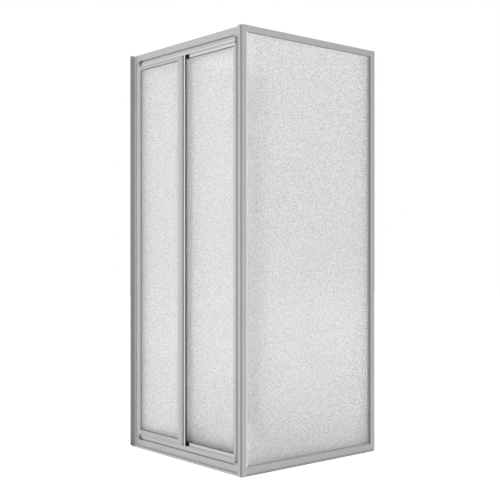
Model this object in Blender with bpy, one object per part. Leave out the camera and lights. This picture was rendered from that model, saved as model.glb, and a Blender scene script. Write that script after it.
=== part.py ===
"""Three-sided shower enclosure: a two-leaf sliding door between two fixed side panels.

Lengths are in metres and +Z is up. The pieces are drawn from the enclosure's right outer
corner at floor level, where the door runs towards -X and the right panel towards +Y.
Each point is then shifted, so that the origin is the middle of the footprint.
"""

import math

import bmesh
import bpy
from mathutils import Vector

# Overall size
DOOR_SPAN = 0.8094
SIDE_SPAN = 0.800
HEIGHT = 1.850

# Values shared by all pieces
CLEARANCE = 0.0003
WALL = 0.0016
OVERRUN = 0.010
EDGE_CHAMFER = 0.0004
ROUND_STEPS = 32

# Sill strips under the frame
SILL_HEIGHT = 0.010
SILL_FACE = 0.003
SIDE_SILL_INSET = 0.0025

# Twin-track rails of the door
RAIL_FACE = 0.012
RAIL_TOP_DROP = 0.001
TRACK_WIDTH = 0.0156
TOP_FASCIA = 0.0301
TOP_LIP = 0.0093
BOTTOM_FASCIA = 0.029
BOTTOM_LIP = 0.0143
GROOVE_HEIGHT = 0.0066
GROOVE_DEPTH = 0.0027
GROOVE_WALL = 0.001
SHELF_DROP = 0.0348
SHELF_REACH = 0.0063

# End channel and end jamb at the door's left end
PLATE = 0.002
CHANNEL_LEG = 0.0088
FLANGE_PROUD = 0.025
FLANGE_BACK = 0.006
FLANGE_FOOT_RISE = 0.0115
FLANGE_FOOT_RUN = 0.014
FLANGE_GROOVE_WIDTH = 0.012
FLANGE_GROOVE_DEPTH = 0.0006
PLUG_WIDTH = 0.009
PLUG_HEIGHT = 0.0036
PLUG_BRIDGE = 0.0012

# Corner connectors of the door frame
CONNECTOR_REACH = 0.0507
LIP_BEVEL_WIDTH = 0.0208
TOP_POST_CONNECTOR = 0.0385
BOTTOM_POST_CONNECTOR = 0.0387

# Corner posts, their caps and the closing jamb beside the right post
POST_WIDTH = 0.0275
POST_DEPTH = 0.0255
POST_STEP_WIDTH = 0.012
POST_STEP_DEPTH = 0.0025
CAP_THICKNESS = 0.003
SPIGOT_LENGTH = 0.012
JAMB_WIDTH = 0.0317
JAMB_DEPTH = 0.020
MAGNET_WIDTH = 0.0074
MAGNET_DEPTH = 0.0064

# Panes and their gaskets
PANE = 0.003
GASKET = 0.001
SLOT_DEPTH = 0.010
GASKET_SETBACK = 0.0005

# Door leaves
LEAF_SETBACK = 0.004
LEAF_DEPTH = 0.010
LEAF_GAP = 0.004
LEAF_OVERLAP = 0.0452
STILE_WIDTH = 0.0259
CLOSING_STILE_WIDTH = 0.018
STILE_IN_TRACK = 0.0055
RAIL_IN_TRACK = 0.001
LEAF_IN_SILL = 0.010
OUTER_TOP_RAIL = 0.027
INNER_TOP_RAIL = 0.022
OUTER_BOTTOM_RAIL = 0.0338
INNER_BOTTOM_RAIL = 0.0272

# Finger pull along the outer leaf
PULL_FLAT = 0.0174
PULL_SLOPE = 0.0204
PULL_GROOVE = 0.0072
PULL_LIP = 0.0078
PULL_DEPTH = 0.0055
PULL_LIP_PROUD = 0.0014
PULL_LIP_DEPTH = 0.003
PULL_WEB = 0.0015
PULL_BACK_RISE = 0.0035

# Hangers, rollers and guides of a leaf
HANGER_LENGTH = 0.060
HANGER_THICKNESS = 0.0045
HANGER_SETBACK = 0.0015
HANGER_LOW = 0.0144
HANGER_HIGH = 0.0268
HANGER_NECK = 0.024
HANGER_NECK_START = 0.026
ROLLER_RADIUS = 0.0082
ROLLER_WIDTH = 0.0046
ROLLER_CHAMFER = 0.0008
ROLLER_GAP = 0.0013
AXLE_RADIUS = 0.002
AXLE_COLLAR_RADIUS = 0.0032
AXLE_RUNNING_GAP = 0.0001
CORNER_PLATE_WIDTH = 0.0252
CORNER_PLATE_DROP = 0.0035
CORNER_PLATE_LAP = 0.008
GUIDE_FLOOR_GAP = 0.0021
GUIDE_SIDE_GAP = 0.0008

# Overlap seal between the leaves
SEAL_BASE_WIDTH = 0.012
SEAL_BASE = 0.0012
SEAL_FIN = 0.0014
SEAL_INSET = 0.015
SEAL_TIP_GAP = 0.0006

# Side panels
SIDE_FRAME_DEPTH = 0.022
SIDE_TOP_RAIL = 0.026
SIDE_BOTTOM_RAIL = 0.0277
SIDE_STILE_WIDTH = 0.028
SIDE_CHANNEL_LEG = 0.014

# Fixing screws
SCREW_LENGTH = 0.008
SCREW_RADIUS = 0.00175
SCREW_HEAD_RADIUS = 0.0035
SCREW_HEAD = 0.0022
SCREW_DOME = 0.0008
SCREW_DOME_RADIUS = 0.0022
SCREW_END_INSET = 0.150

# Holes through which the channels are screwed to the wall and to the left post
WALL_HOLE_RADIUS = 0.0025
WALL_HOLE_RISE = 0.040

# Rubber stops in the top track, which end the travel of the leaves
STOP_LENGTH = 0.010
STOP_HEIGHT = 0.022
STOP_DEPTH = 0.0085

# Places that follow from the sizes above
RAIL_TOP = HEIGHT - RAIL_TOP_DROP
RAIL_BACK = RAIL_FACE + 3 * WALL + 2 * TRACK_WIDTH
TRACK_PITCH = TRACK_WIDTH + WALL
MID_WALL = RAIL_FACE + WALL + TRACK_WIDTH
LEAF_TRACK_FRONTS = (RAIL_FACE + LEAF_SETBACK, RAIL_FACE + LEAF_SETBACK + TRACK_PITCH)
TOP_GROOVE_TOP = RAIL_TOP - TOP_FASCIA
TOP_GROOVE_BOTTOM = TOP_GROOVE_TOP - GROOVE_HEIGHT
TOP_LIP_EDGE = TOP_GROOVE_BOTTOM - TOP_LIP
RAIL_FOOT = SILL_HEIGHT + CLEARANCE
BOTTOM_GROOVE_BOTTOM = RAIL_FOOT + BOTTOM_FASCIA
BOTTOM_GROOVE_TOP = BOTTOM_GROOVE_BOTTOM + GROOVE_HEIGHT
BOTTOM_LIP_EDGE = BOTTOM_GROOVE_TOP + BOTTOM_LIP
SHELF_TOP = RAIL_TOP - SHELF_DROP
ROLLER_AXIS = SHELF_TOP + CLEARANCE + ROLLER_RADIUS
SLOT_WIDTH = PANE + 2 * (GASKET + 2 * CLEARANCE)
LEAF_WALL = (LEAF_DEPTH - SLOT_WIDTH) / 2
END_LINE = -DOOR_SPAN
LEFT_FACE = END_LINE - CLEARANCE - POST_WIDTH
FLANGE_FACE = END_LINE + PLATE
LEG_END = FLANGE_FACE + CHANNEL_LEG
FLANGE_FRONT = RAIL_FACE - FLANGE_PROUD
JAMB_EDGE = -POST_WIDTH - 3 * CLEARANCE - JAMB_WIDTH
RAIL_RIGHT = JAMB_EDGE
CONNECTOR_LEFT = LEG_END + CLEARANCE
CONNECTOR_RIGHT = -POST_WIDTH - CLEARANCE
RAIL_LEFT = CONNECTOR_LEFT + CONNECTOR_REACH
OUTER_LEFT = LEG_END + LEAF_GAP
INNER_RIGHT = JAMB_EDGE - 2 * (MAGNET_WIDTH + 2 * CLEARANCE)
LEAF_WIDTH = (INNER_RIGHT - OUTER_LEFT + LEAF_OVERLAP) / 2
INNER_LEFT = INNER_RIGHT - LEAF_WIDTH
OUTER_RIGHT = OUTER_LEFT + LEAF_WIDTH
LEAF_FOOT = BOTTOM_LIP_EDGE - LEAF_IN_SILL
STILE_TOP = TOP_LIP_EDGE + STILE_IN_TRACK
STRIP_LOW = RAIL_FOOT + BOTTOM_POST_CONNECTOR + CLEARANCE
STRIP_HIGH = RAIL_TOP - TOP_POST_CONNECTOR - CLEARANCE
LEAF_RAIL_TOP = TOP_LIP_EDGE + RAIL_IN_TRACK
GRIP_WIDTH = PULL_FLAT + PULL_SLOPE + PULL_GROOVE + PULL_LIP
OUTER_NECK_END = OUTER_RIGHT - GRIP_WIDTH - CLEARANCE - HANGER_NECK_START
INNER_NECK_END = INNER_LEFT + STILE_WIDTH + CLEARANCE + HANGER_NECK_START
BACK_STOP_FACE = RAIL_LEFT + CLEARANCE + STOP_LENGTH
LEAF_TRAVEL = INNER_NECK_END - CLEARANCE - BACK_STOP_FACE
FRONT_STOP_FACE = OUTER_NECK_END + CLEARANCE + LEAF_TRAVEL
SIDE_PANE_X = -(WALL + SLOT_WIDTH / 2)
POST_FRONTS = {"right": 0, "left": RAIL_FACE}
SIDE_STILE_EDGE = SIDE_SPAN - SIDE_STILE_WIDTH
FOOTPRINT_CENTRE = Vector((LEFT_FACE / 2, (SIDE_SPAN + FLANGE_FRONT) / 2, 0))

# Finishes: colour, roughness, metallic
ALUMINIUM = ((0.62, 0.62, 0.62), 0.38, 0.85)
ACRYLIC = ((0.86, 0.87, 0.87), 0.45, 0.0)
BLACK_PLASTIC = ((0.02, 0.02, 0.02), 0.5, 0.0)
GREY_PLASTIC = ((0.55, 0.55, 0.55), 0.5, 0.0)
SEAL_PLASTIC = ((0.30, 0.30, 0.31), 0.6, 0.0)
GASKET_PLASTIC = ((0.75, 0.76, 0.76), 0.55, 0.0)
RUBBER = ((0.03, 0.03, 0.03), 0.8, 0.0)
STEEL = ((0.60, 0.60, 0.58), 0.3, 1.0)
NYLON = ((0.85, 0.85, 0.82), 0.45, 0.0)

AXES = {"X": Vector((1, 0, 0)), "Y": Vector((0, 1, 0)), "Z": Vector((0, 0, 1))}


# Tools that make one solid each

def clear_scene():
    """Remove every object of the start-up scene."""
    for item in list(bpy.data.objects):
        bpy.data.objects.remove(item)


def corner_point(axis, a, b, along):
    """Point at a place along an axis, with (a, b) across it in X, Y, Z order."""
    if axis == "X":
        return Vector((along, a, b))
    if axis == "Y":
        return Vector((a, along, b))
    return Vector((a, b, along))


def rectangle(a_low, b_low, a_high, b_high):
    """Outline of a rectangle."""
    return [(a_low, b_low), (a_high, b_low), (a_high, b_high), (a_low, b_high)]


def make_material(name, finish):
    """Give a piece its own material with the finish's values."""
    colour, roughness, metallic = finish
    material = bpy.data.materials.new(name)
    material.use_nodes = True
    shader = material.node_tree.nodes["Principled BSDF"]
    shader.inputs["Base Color"].default_value = (*colour, 1.0)
    shader.inputs["Roughness"].default_value = roughness
    shader.inputs["Metallic"].default_value = metallic
    return material


def make_pivot(name, place):
    """Empty that carries the pieces of a moving body."""
    pivot = bpy.data.objects.new(name, None)
    pivot.location = place - FOOTPRINT_CENTRE
    bpy.context.collection.objects.link(pivot)
    return pivot


def make_object(name, mesh_builder, finish, carrier=None, origin=None):
    """Turn a bmesh drawn from the enclosure's corner into an object.

    The carrier is the empty of a moving body. The origin is a place of the piece's
    own, such as a roller's axis; without it the piece shares its carrier's place.
    """
    home = FOOTPRINT_CENTRE if carrier is None else carrier.location + FOOTPRINT_CENTRE
    own = home if origin is None else origin
    bmesh.ops.translate(mesh_builder, verts=mesh_builder.verts, vec=-own)
    bmesh.ops.recalc_face_normals(mesh_builder, faces=mesh_builder.faces)
    mesh = bpy.data.meshes.new(name)
    mesh_builder.to_mesh(mesh)
    mesh_builder.free()
    piece = bpy.data.objects.new(name, mesh)
    bpy.context.collection.objects.link(piece)
    piece.location = own - home
    piece.parent = carrier
    if finish is not None:
        mesh.materials.append(make_material(name, finish))
    return piece


def chamfer_edges(piece):
    """Break the sharp edges of an extruded profile."""
    bevel = piece.modifiers.new("broken_edges", "BEVEL")
    bevel.width = EDGE_CHAMFER
    bevel.segments = 1
    bevel.limit_method = "ANGLE"


def extrude_outline(axis, outline, start, end):
    """Solid made by drawing a closed outline out along an axis."""
    builder = bmesh.new()
    corners = [builder.verts.new(corner_point(axis, a, b, start)) for a, b in outline]
    base = builder.faces.new(corners)
    grown = bmesh.ops.extrude_face_region(builder, geom=[base], use_keep_orig=True)
    far = [item for item in grown["geom"] if isinstance(item, bmesh.types.BMVert)]
    bmesh.ops.translate(builder, verts=far, vec=AXES[axis] * (end - start))
    return builder


def profile(name, axis, outline, start, end, finish, carrier=None):
    """Extruded piece with broken edges."""
    piece = make_object(name, extrude_outline(axis, outline, start, end), finish, carrier)
    chamfer_edges(piece)
    return piece


def turned_solid(axis, centre, points, closed):
    """Solid made by turning (radius, along) points round an axis through the centre."""
    builder = bmesh.new()
    across = AXES["Z"] if axis != "Z" else AXES["X"]
    ring = [builder.verts.new(centre + across * radius + AXES[axis] * along) for radius, along in points]
    pairs = list(zip(ring, ring[1:]))
    if closed:
        pairs.append((ring[-1], ring[0]))
    edges = [builder.edges.new(pair) for pair in pairs]
    bmesh.ops.spin(
        builder, geom=ring + edges, cent=centre, axis=AXES[axis],
        angle=2 * math.pi, steps=ROUND_STEPS, use_merge=True,
    )
    bmesh.ops.remove_doubles(builder, verts=builder.verts, dist=CLEARANCE / 100)
    return builder


def turned(name, axis, centre, points, finish, carrier=None, closed=False, own_origin=False):
    """Round piece, shaded smooth."""
    builder = turned_solid(axis, centre, points, closed)
    piece = make_object(name, builder, finish, carrier, centre if own_origin else None)
    piece.data.shade_smooth()
    piece.data.set_sharp_from_angle(angle=math.radians(35))
    return piece


def combine(piece, builder, operation):
    """Cut a hidden solid out of a piece, or join it on.

    The exact solver left open slivers where a round hole crosses a long thin face, so
    the manifold solver does these steps.
    """
    home = None if piece.parent is None else piece.parent
    helper = make_object(piece.name + "_" + operation.lower(), builder, None, home)
    helper.hide_render = True
    helper.display_type = "WIRE"
    step = piece.modifiers.new(operation.lower(), "BOOLEAN")
    step.operation = operation
    step.solver = "MANIFOLD"
    step.object = helper


def bore(piece, axis, centre, radius, start, end):
    """Cut a round hole along an axis, from start to end beside the centre."""
    points = [(0, start), (radius, start), (radius, end), (0, end)]
    combine(piece, turned_solid(axis, centre, points, False), "DIFFERENCE")


def gasket_ring(name, axis, middle, low, high, carrier=None):
    """U-shaped glazing gasket round a pane.

    low and high are the corners of the visible pane, across the axis. The gasket's
    section is turned into one rectangle for each of its points.
    """
    half = PANE / 2 + CLEARANCE + GASKET
    reach = SLOT_DEPTH - CLEARANCE
    lip = GASKET_SETBACK
    floor = reach - GASKET
    section = [
        (reach, -half), (reach, half), (lip, half), (lip, half - GASKET),
        (floor, half - GASKET), (floor, GASKET - half), (lip, GASKET - half), (lip, -half),
    ]
    builder = bmesh.new()
    loops = []
    for grow, offset in section:
        outline = rectangle(low[0] - grow, low[1] - grow, high[0] + grow, high[1] + grow)
        loops.append([builder.verts.new(corner_point(axis, a, b, middle + offset)) for a, b in outline])
    for loop, following in zip(loops, loops[1:] + loops[:1]):
        for here in range(len(loop)):
            there = (here + 1) % len(loop)
            builder.faces.new((loop[here], loop[there], following[there], following[here]))
    return make_object(name, builder, GASKET_PLASTIC, carrier)


def pane_sheet(name, axis, middle, low, high, carrier=None):
    """Acrylic sheet whose edges sit in the gasket."""
    grow = SLOT_DEPTH - 2 * CLEARANCE - GASKET
    outline = rectangle(low[0] - grow, low[1] - grow, high[0] + grow, high[1] + grow)
    builder = extrude_outline(axis, outline, middle - PANE / 2, middle + PANE / 2)
    return make_object(name, builder, ACRYLIC, carrier)


# Outlines of the extruded profiles

def track_outline(base, towards, fascia, lip_edge, shelf):
    """Twin-track rail in (y, z): three walls on a web, with a groove along the face.

    towards is -1 where the walls hang from the web and +1 where they stand on it.
    """
    web = base + towards * WALL
    groove_start = base + towards * fascia
    groove_end = groove_start + towards * GROOVE_HEIGHT
    skin_start = groove_start - towards * GROOVE_WALL
    skin_end = groove_end + towards * GROOVE_WALL
    groove_face = RAIL_FACE + GROOVE_DEPTH
    inner_face = RAIL_FACE + WALL
    outline = [
        (RAIL_FACE, base), (RAIL_FACE, groove_start), (groove_face, groove_start),
        (groove_face, groove_end), (RAIL_FACE, groove_end), (RAIL_FACE, lip_edge),
        (inner_face, lip_edge), (inner_face, skin_end), (groove_face + GROOVE_WALL, skin_end),
        (groove_face + GROOVE_WALL, skin_start), (inner_face, skin_start), (inner_face, web),
    ]
    for wall in (MID_WALL, MID_WALL + TRACK_PITCH):
        outline.append((wall, web))
        if shelf is not None:
            tip = wall - SHELF_REACH
            outline += [(wall, shelf), (tip, shelf), (tip, shelf - WALL), (wall, shelf - WALL)]
        outline += [(wall, lip_edge), (wall + WALL, lip_edge)]
        if wall == MID_WALL:
            outline.append((wall + WALL, web))
    outline.append((RAIL_BACK, base))
    return outline


def leaf_rail_outline(front, back_edge, sight_edge):
    """Leaf rail in (y, z): a channel with its mouth at the pane's visible edge."""
    inward = math.copysign(WALL, sight_edge - back_edge)
    return [
        (front, back_edge), (front, sight_edge), (front + LEAF_WALL, sight_edge),
        (front + LEAF_WALL, back_edge + inward), (front + LEAF_WALL + SLOT_WIDTH, back_edge + inward),
        (front + LEAF_WALL + SLOT_WIDTH, sight_edge), (front + LEAF_DEPTH, sight_edge),
        (front + LEAF_DEPTH, back_edge),
    ]


def leaf_stile_outline(front, back_edge, sight_edge):
    """Leaf stile in (x, y): the same channel, standing upright."""
    return [(x, y) for y, x in leaf_rail_outline(front, back_edge, sight_edge)]


def grip_stile_outline(front, right):
    """Leaf stile in (x, y) with a scooped finger pull and a lip along its free edge."""
    left = right - GRIP_WIDTH
    slope_start = left + PULL_FLAT
    scoop = slope_start + PULL_SLOPE
    lip_start = right - PULL_LIP
    slot_end = left + SLOT_DEPTH
    back = front + LEAF_DEPTH
    slot_front = front + LEAF_WALL
    lip_back = front - PULL_LIP_PROUD + PULL_LIP_DEPTH
    web_side = lip_start + PULL_WEB
    return [
        (left, front), (slope_start, front), (scoop, front + PULL_DEPTH),
        (lip_start, front + PULL_DEPTH), (lip_start, front - PULL_LIP_PROUD),
        (right, front - PULL_LIP_PROUD), (right, lip_back), (web_side, lip_back),
        (web_side, back - PULL_BACK_RISE), (scoop, back), (left, back),
        (left, slot_front + SLOT_WIDTH), (slot_end, slot_front + SLOT_WIDTH),
        (slot_end, slot_front), (left, slot_front),
    ]


def side_x(side, x):
    """Place across the enclosure of a place that is measured from the right side's outer face."""
    return x if side == "right" else LEFT_FACE - x


def on_side(side, outline):
    """Outline that is drawn for the right side, mirrored where it is for the left."""
    return [(side_x(side, x), other) for x, other in outline]


def side_rail_outline(base, towards, height):
    """Side panel rail in (x, z): pane slot on the outside and an open hollow behind."""
    web = base + towards * WALL
    edge = base + towards * height
    inner = -(2 * WALL + SLOT_WIDTH)
    return [
        (0, base), (0, edge), (-WALL, edge), (-WALL, web), (inner + WALL, web), (inner + WALL, edge),
        (inner, edge), (inner, web), (WALL - SIDE_FRAME_DEPTH, web), (WALL - SIDE_FRAME_DEPTH, edge),
        (-SIDE_FRAME_DEPTH, edge), (-SIDE_FRAME_DEPTH, base),
    ]


def side_stile_outline():
    """Side panel stile in (x, y): pane slot to the front, and legs that slip over the wall channel."""
    edge = SIDE_STILE_EDGE
    slot_floor = edge + SLOT_DEPTH
    web_back = slot_floor + WALL
    foot = SIDE_SPAN - CLEARANCE
    inner = -(2 * WALL + SLOT_WIDTH)
    back = -SIDE_FRAME_DEPTH
    return [
        (0, edge), (0, foot), (-WALL, foot), (-WALL, web_back), (back + WALL, web_back),
        (back + WALL, foot), (back, foot), (back, edge), (back + WALL, edge), (back + WALL, slot_floor),
        (inner, slot_floor), (inner, edge), (inner + WALL, edge), (inner + WALL, slot_floor),
        (-WALL, slot_floor), (-WALL, edge),
    ]


def post_outline(front):
    """Corner post in (x, y): proud strip, stepped arris, pane slot and a fin behind the rails."""
    left = -POST_WIDTH
    step = front + POST_STEP_DEPTH
    back = front + POST_DEPTH
    slot_floor = back - SLOT_DEPTH
    slot_back = -(WALL + SLOT_WIDTH)
    return [
        (left, front), (-POST_STEP_WIDTH, front), (-POST_STEP_WIDTH, step), (0, step),
        (0, back), (-WALL, back), (-WALL, slot_floor), (slot_back, slot_floor),
        (slot_back, back), (left + WALL, back), (left + WALL, RAIL_BACK), (left, RAIL_BACK),
    ]


def post_hollow(front):
    """Hollow of the corner post in (x, y), as low and high values."""
    return (
        (WALL - POST_WIDTH, front + POST_STEP_DEPTH + WALL),
        (-WALL, front + POST_DEPTH - SLOT_DEPTH - WALL),
    )


# Fixed frame of the door

def build_sills():
    """Solid strips that the frame stands on."""
    door = rectangle(END_LINE + CLEARANCE, 0, -POST_WIDTH - CLEARANCE, SILL_HEIGHT)
    profile("door_sill_strip", "Y", door, SILL_FACE, RAIL_BACK, ALUMINIUM)
    strip = rectangle(-SIDE_FRAME_DEPTH, 0, -SIDE_SILL_INSET, SILL_HEIGHT)
    for side, front in POST_FRONTS.items():
        start = front + POST_DEPTH + CLEARANCE
        outline = on_side(side, strip)
        profile(side + "_side_sill_strip", "Y", outline, start, SIDE_SPAN - CLEARANCE, ALUMINIUM)


def build_end_channel():
    """Channel screwed to the left post, with a proud flange, and the plug in the flange's foot."""
    groove_near = RAIL_FACE - (FLANGE_PROUD - FLANGE_GROOVE_WIDTH) / 2
    groove_far = groove_near - FLANGE_GROOVE_WIDTH
    groove_floor = FLANGE_FACE - FLANGE_GROOVE_DEPTH
    outline = [
        (END_LINE, FLANGE_FRONT), (FLANGE_FACE, FLANGE_FRONT), (FLANGE_FACE, groove_far),
        (groove_floor, groove_far), (groove_floor, groove_near), (FLANGE_FACE, groove_near),
        (FLANGE_FACE, RAIL_FACE), (LEG_END, RAIL_FACE), (LEG_END, RAIL_FACE + WALL),
        (FLANGE_FACE, RAIL_FACE + WALL), (FLANGE_FACE, RAIL_BACK - WALL), (LEG_END, RAIL_BACK - WALL),
        (LEG_END, RAIL_BACK), (FLANGE_FACE, RAIL_BACK), (FLANGE_FACE, RAIL_BACK + FLANGE_BACK),
        (END_LINE, RAIL_BACK + FLANGE_BACK),
    ]
    channel = profile("door_end_channel", "Z", outline, 0, RAIL_TOP, ALUMINIUM)
    sill_space = rectangle(SILL_FACE - CLEARANCE, -OVERRUN, RAIL_BACK + OVERRUN, RAIL_FOOT)
    slope_end = FLANGE_FRONT + FLANGE_FOOT_RUN
    slope = [
        (FLANGE_FRONT - OVERRUN, -OVERRUN), (slope_end, -OVERRUN), (slope_end, 0),
        (FLANGE_FRONT, FLANGE_FOOT_RISE), (FLANGE_FRONT - OVERRUN, FLANGE_FOOT_RISE),
    ]
    plug_low = FLANGE_FOOT_RISE + PLUG_BRIDGE
    plug_end = FLANGE_FRONT + PLUG_WIDTH
    notch = rectangle(
        FLANGE_FRONT - OVERRUN, plug_low - CLEARANCE,
        plug_end + CLEARANCE, plug_low + PLUG_HEIGHT + CLEARANCE,
    )
    for outline in (sill_space, slope, notch):
        cutter = extrude_outline("X", outline, END_LINE - OVERRUN, LEG_END + OVERRUN)
        combine(channel, cutter, "DIFFERENCE")
    plug = rectangle(FLANGE_FRONT, plug_low, plug_end, plug_low + PLUG_HEIGHT)
    profile("flange_plug", "X", plug, END_LINE, FLANGE_FACE, BLACK_PLASTIC)
    for height in fixing_heights(RAIL_TOP).values():
        place = Vector((END_LINE, (RAIL_FACE + RAIL_BACK) / 2, height + WALL_HOLE_RISE))
        bore(channel, "X", place, WALL_HOLE_RADIUS, -OVERRUN / 2, OVERRUN / 2)
    return channel


def fixing_heights(top):
    """Heights of the low, middle and high fixings of an upright."""
    low = SCREW_END_INSET
    high = top - SCREW_END_INSET
    return {"low": low, "middle": (low + high) / 2, "high": high}


def fixing_screw(name, axis, seat, towards):
    """Round-headed screw whose head rests on its seat, with the shank pointing towards."""
    under_head = -towards * CLEARANCE
    rim = under_head - towards * (SCREW_HEAD - SCREW_DOME)
    points = [
        (0, under_head - towards * SCREW_HEAD), (SCREW_DOME_RADIUS, under_head - towards * SCREW_HEAD),
        (SCREW_HEAD_RADIUS, rim), (SCREW_HEAD_RADIUS, under_head), (SCREW_RADIUS, under_head),
        (SCREW_RADIUS, towards * SCREW_LENGTH), (0, towards * SCREW_LENGTH),
    ]
    turned(name, axis, seat, points, STEEL)


def build_end_jamb(channel):
    """Jamb that slips into the end channel, and the two screws that hold it there."""
    left = FLANGE_FACE + CLEARANCE
    front = RAIL_FACE + WALL + CLEARANCE
    back = RAIL_BACK - WALL - CLEARANCE
    outline = [
        (left, front), (LEG_END, front), (LEG_END, front + WALL), (left + WALL, front + WALL),
        (left + WALL, back - WALL), (LEG_END, back - WALL), (LEG_END, back), (left, back),
    ]
    jamb = profile("door_end_jamb", "Z", outline, RAIL_FOOT, RAIL_TOP, ALUMINIUM)
    heights = fixing_heights(RAIL_TOP)
    for level in ("low", "high"):
        seat = Vector(((FLANGE_FACE + LEG_END) / 2, RAIL_BACK, heights[level]))
        for piece in (channel, jamb):
            bore(piece, "Y", seat, SCREW_RADIUS + CLEARANCE, -SCREW_LENGTH, OVERRUN / 2)
        fixing_screw("jamb_screw_" + level, "Y", seat, -1)


def build_door_rails():
    """Twin-track rails, their bevelled ends at the left and the corner connectors."""
    ends = {
        "door_top_rail": (RAIL_TOP, -1, TOP_FASCIA, TOP_LIP_EDGE, SHELF_TOP, TOP_GROOVE_TOP),
        "door_bottom_rail": (RAIL_FOOT, 1, BOTTOM_FASCIA, BOTTOM_LIP_EDGE, None, BOTTOM_GROOVE_BOTTOM),
    }
    bevel_end = RAIL_LEFT - LIP_BEVEL_WIDTH
    for name, (base, towards, fascia, lip_edge, shelf, bevel_start) in ends.items():
        outline = track_outline(base, towards, fascia, lip_edge, shelf)
        rail = profile(name, "X", outline, bevel_end, RAIL_RIGHT, ALUMINIUM)
        beyond = base - towards * OVERRUN
        wedge = [
            (bevel_end - OVERRUN, beyond), (RAIL_LEFT, beyond), (RAIL_LEFT, bevel_start),
            (bevel_end, lip_edge), (bevel_end - OVERRUN, lip_edge),
        ]
        combine(rail, extrude_outline("Y", wedge, 0, RAIL_BACK + OVERRUN), "DIFFERENCE")
    wall_end = RAIL_LEFT - CLEARANCE
    leg_end = OUTER_LEFT + STILE_WIDTH - CLEARANCE
    right = (RAIL_RIGHT + CLEARANCE, CONNECTOR_RIGHT)
    top_post = (RAIL_TOP - TOP_POST_CONNECTOR, RAIL_TOP)
    bottom_post = (RAIL_FOOT, RAIL_FOOT + BOTTOM_POST_CONNECTOR)
    blocks = {
        "top_left_connector": [
            (CONNECTOR_LEFT, RAIL_TOP), (CONNECTOR_LEFT, TOP_GROOVE_BOTTOM),
            (leg_end, TOP_GROOVE_BOTTOM), (leg_end, TOP_GROOVE_TOP + CLEARANCE),
            (wall_end, TOP_GROOVE_TOP + CLEARANCE), (wall_end, RAIL_TOP),
        ],
        "bottom_left_connector": [
            (CONNECTOR_LEFT, RAIL_FOOT), (wall_end, RAIL_FOOT),
            (wall_end, BOTTOM_GROOVE_BOTTOM - CLEARANCE), (leg_end, BOTTOM_GROOVE_BOTTOM - CLEARANCE),
            (leg_end, BOTTOM_GROOVE_TOP), (CONNECTOR_LEFT, BOTTOM_GROOVE_TOP),
        ],
        "top_right_connector": rectangle(right[0], top_post[0], right[1], top_post[1]),
        "bottom_right_connector": rectangle(right[0], bottom_post[0], right[1], bottom_post[1]),
    }
    for name, outline in blocks.items():
        profile(name, "Y", outline, RAIL_FACE, RAIL_BACK, GREY_PLASTIC)


def build_track_stops():
    """Rubber stops under the top rail's web, which each leaf's hanger meets at the end of its travel."""
    top = RAIL_TOP - WALL - CLEARANCE
    places = {"front_track_stop": (FRONT_STOP_FACE, 1), "back_track_stop": (BACK_STOP_FACE, -1)}
    for (name, (face, away)), leaf_front in zip(places.items(), LEAF_TRACK_FRONTS):
        start = leaf_front - LEAF_SETBACK + WALL + CLEARANCE
        far = face + away * STOP_LENGTH
        block = rectangle(min(face, far), top - STOP_HEIGHT, max(face, far), top)
        profile(name, "Y", block, start, start + STOP_DEPTH, RUBBER)


def build_post(side):
    """Hollow corner post and the cap that plugs its top; returns the post."""
    front = POST_FRONTS[side]
    post_top = HEIGHT - CAP_THICKNESS - CLEARANCE
    outline = on_side(side, post_outline(front))
    post = profile(side + "_corner_post", "Z", outline, 0, post_top, ALUMINIUM)
    low, high = post_hollow(front)
    hollow = on_side(side, rectangle(*low, *high))
    combine(post, extrude_outline("Z", hollow, -OVERRUN, post_top + OVERRUN), "DIFFERENCE")
    step = front + POST_STEP_DEPTH
    back = front + POST_DEPTH
    plate = [
        (-POST_WIDTH, front), (-POST_STEP_WIDTH, front), (-POST_STEP_WIDTH, step),
        (0, step), (0, back), (-POST_WIDTH, back),
    ]
    cap_low = HEIGHT - CAP_THICKNESS
    cap = profile(side + "_post_cap", "Z", on_side(side, plate), cap_low, HEIGHT, GREY_PLASTIC)
    spigot = rectangle(
        low[0] + CLEARANCE, low[1] + CLEARANCE, high[0] - CLEARANCE, high[1] - CLEARANCE
    )
    spigot_top = HEIGHT - CAP_THICKNESS / 2
    builder = extrude_outline("Z", on_side(side, spigot), post_top - SPIGOT_LENGTH, spigot_top)
    combine(cap, builder, "UNION")
    return post


def bore_left_post(post):
    """Pilot holes in the left post for the screws that hold the door's end channel."""
    for height in fixing_heights(RAIL_TOP).values():
        place = Vector((END_LINE - CLEARANCE, (RAIL_FACE + RAIL_BACK) / 2, height + WALL_HOLE_RISE))
        bore(post, "X", place, SCREW_RADIUS, -SCREW_LENGTH, OVERRUN)


def build_closing_jamb():
    """Channel beside the post that the inner leaf closes on, and its magnetic strip."""
    right = JAMB_EDGE + JAMB_WIDTH
    front = RAIL_BACK - JAMB_DEPTH
    outline = [
        (JAMB_EDGE, front), (right, front), (right, front + WALL), (JAMB_EDGE + WALL, front + WALL),
        (JAMB_EDGE + WALL, RAIL_BACK - WALL), (right, RAIL_BACK - WALL), (right, RAIL_BACK),
        (JAMB_EDGE, RAIL_BACK),
    ]
    profile("closing_jamb", "Z", outline, STRIP_LOW, STRIP_HIGH, ALUMINIUM)
    strip_right = JAMB_EDGE - CLEARANCE
    strip = magnet_outline(strip_right - MAGNET_WIDTH, strip_right)
    profile("jamb_magnetic_strip", "Z", strip, STRIP_LOW, STRIP_HIGH, SEAL_PLASTIC)


def magnet_outline(left, right):
    """Magnetic strip in (x, y), in line with the inner leaf."""
    middle = LEAF_TRACK_FRONTS[1] + LEAF_DEPTH / 2
    return rectangle(left, middle - MAGNET_DEPTH / 2, right, middle + MAGNET_DEPTH / 2)


# Side panels

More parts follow.
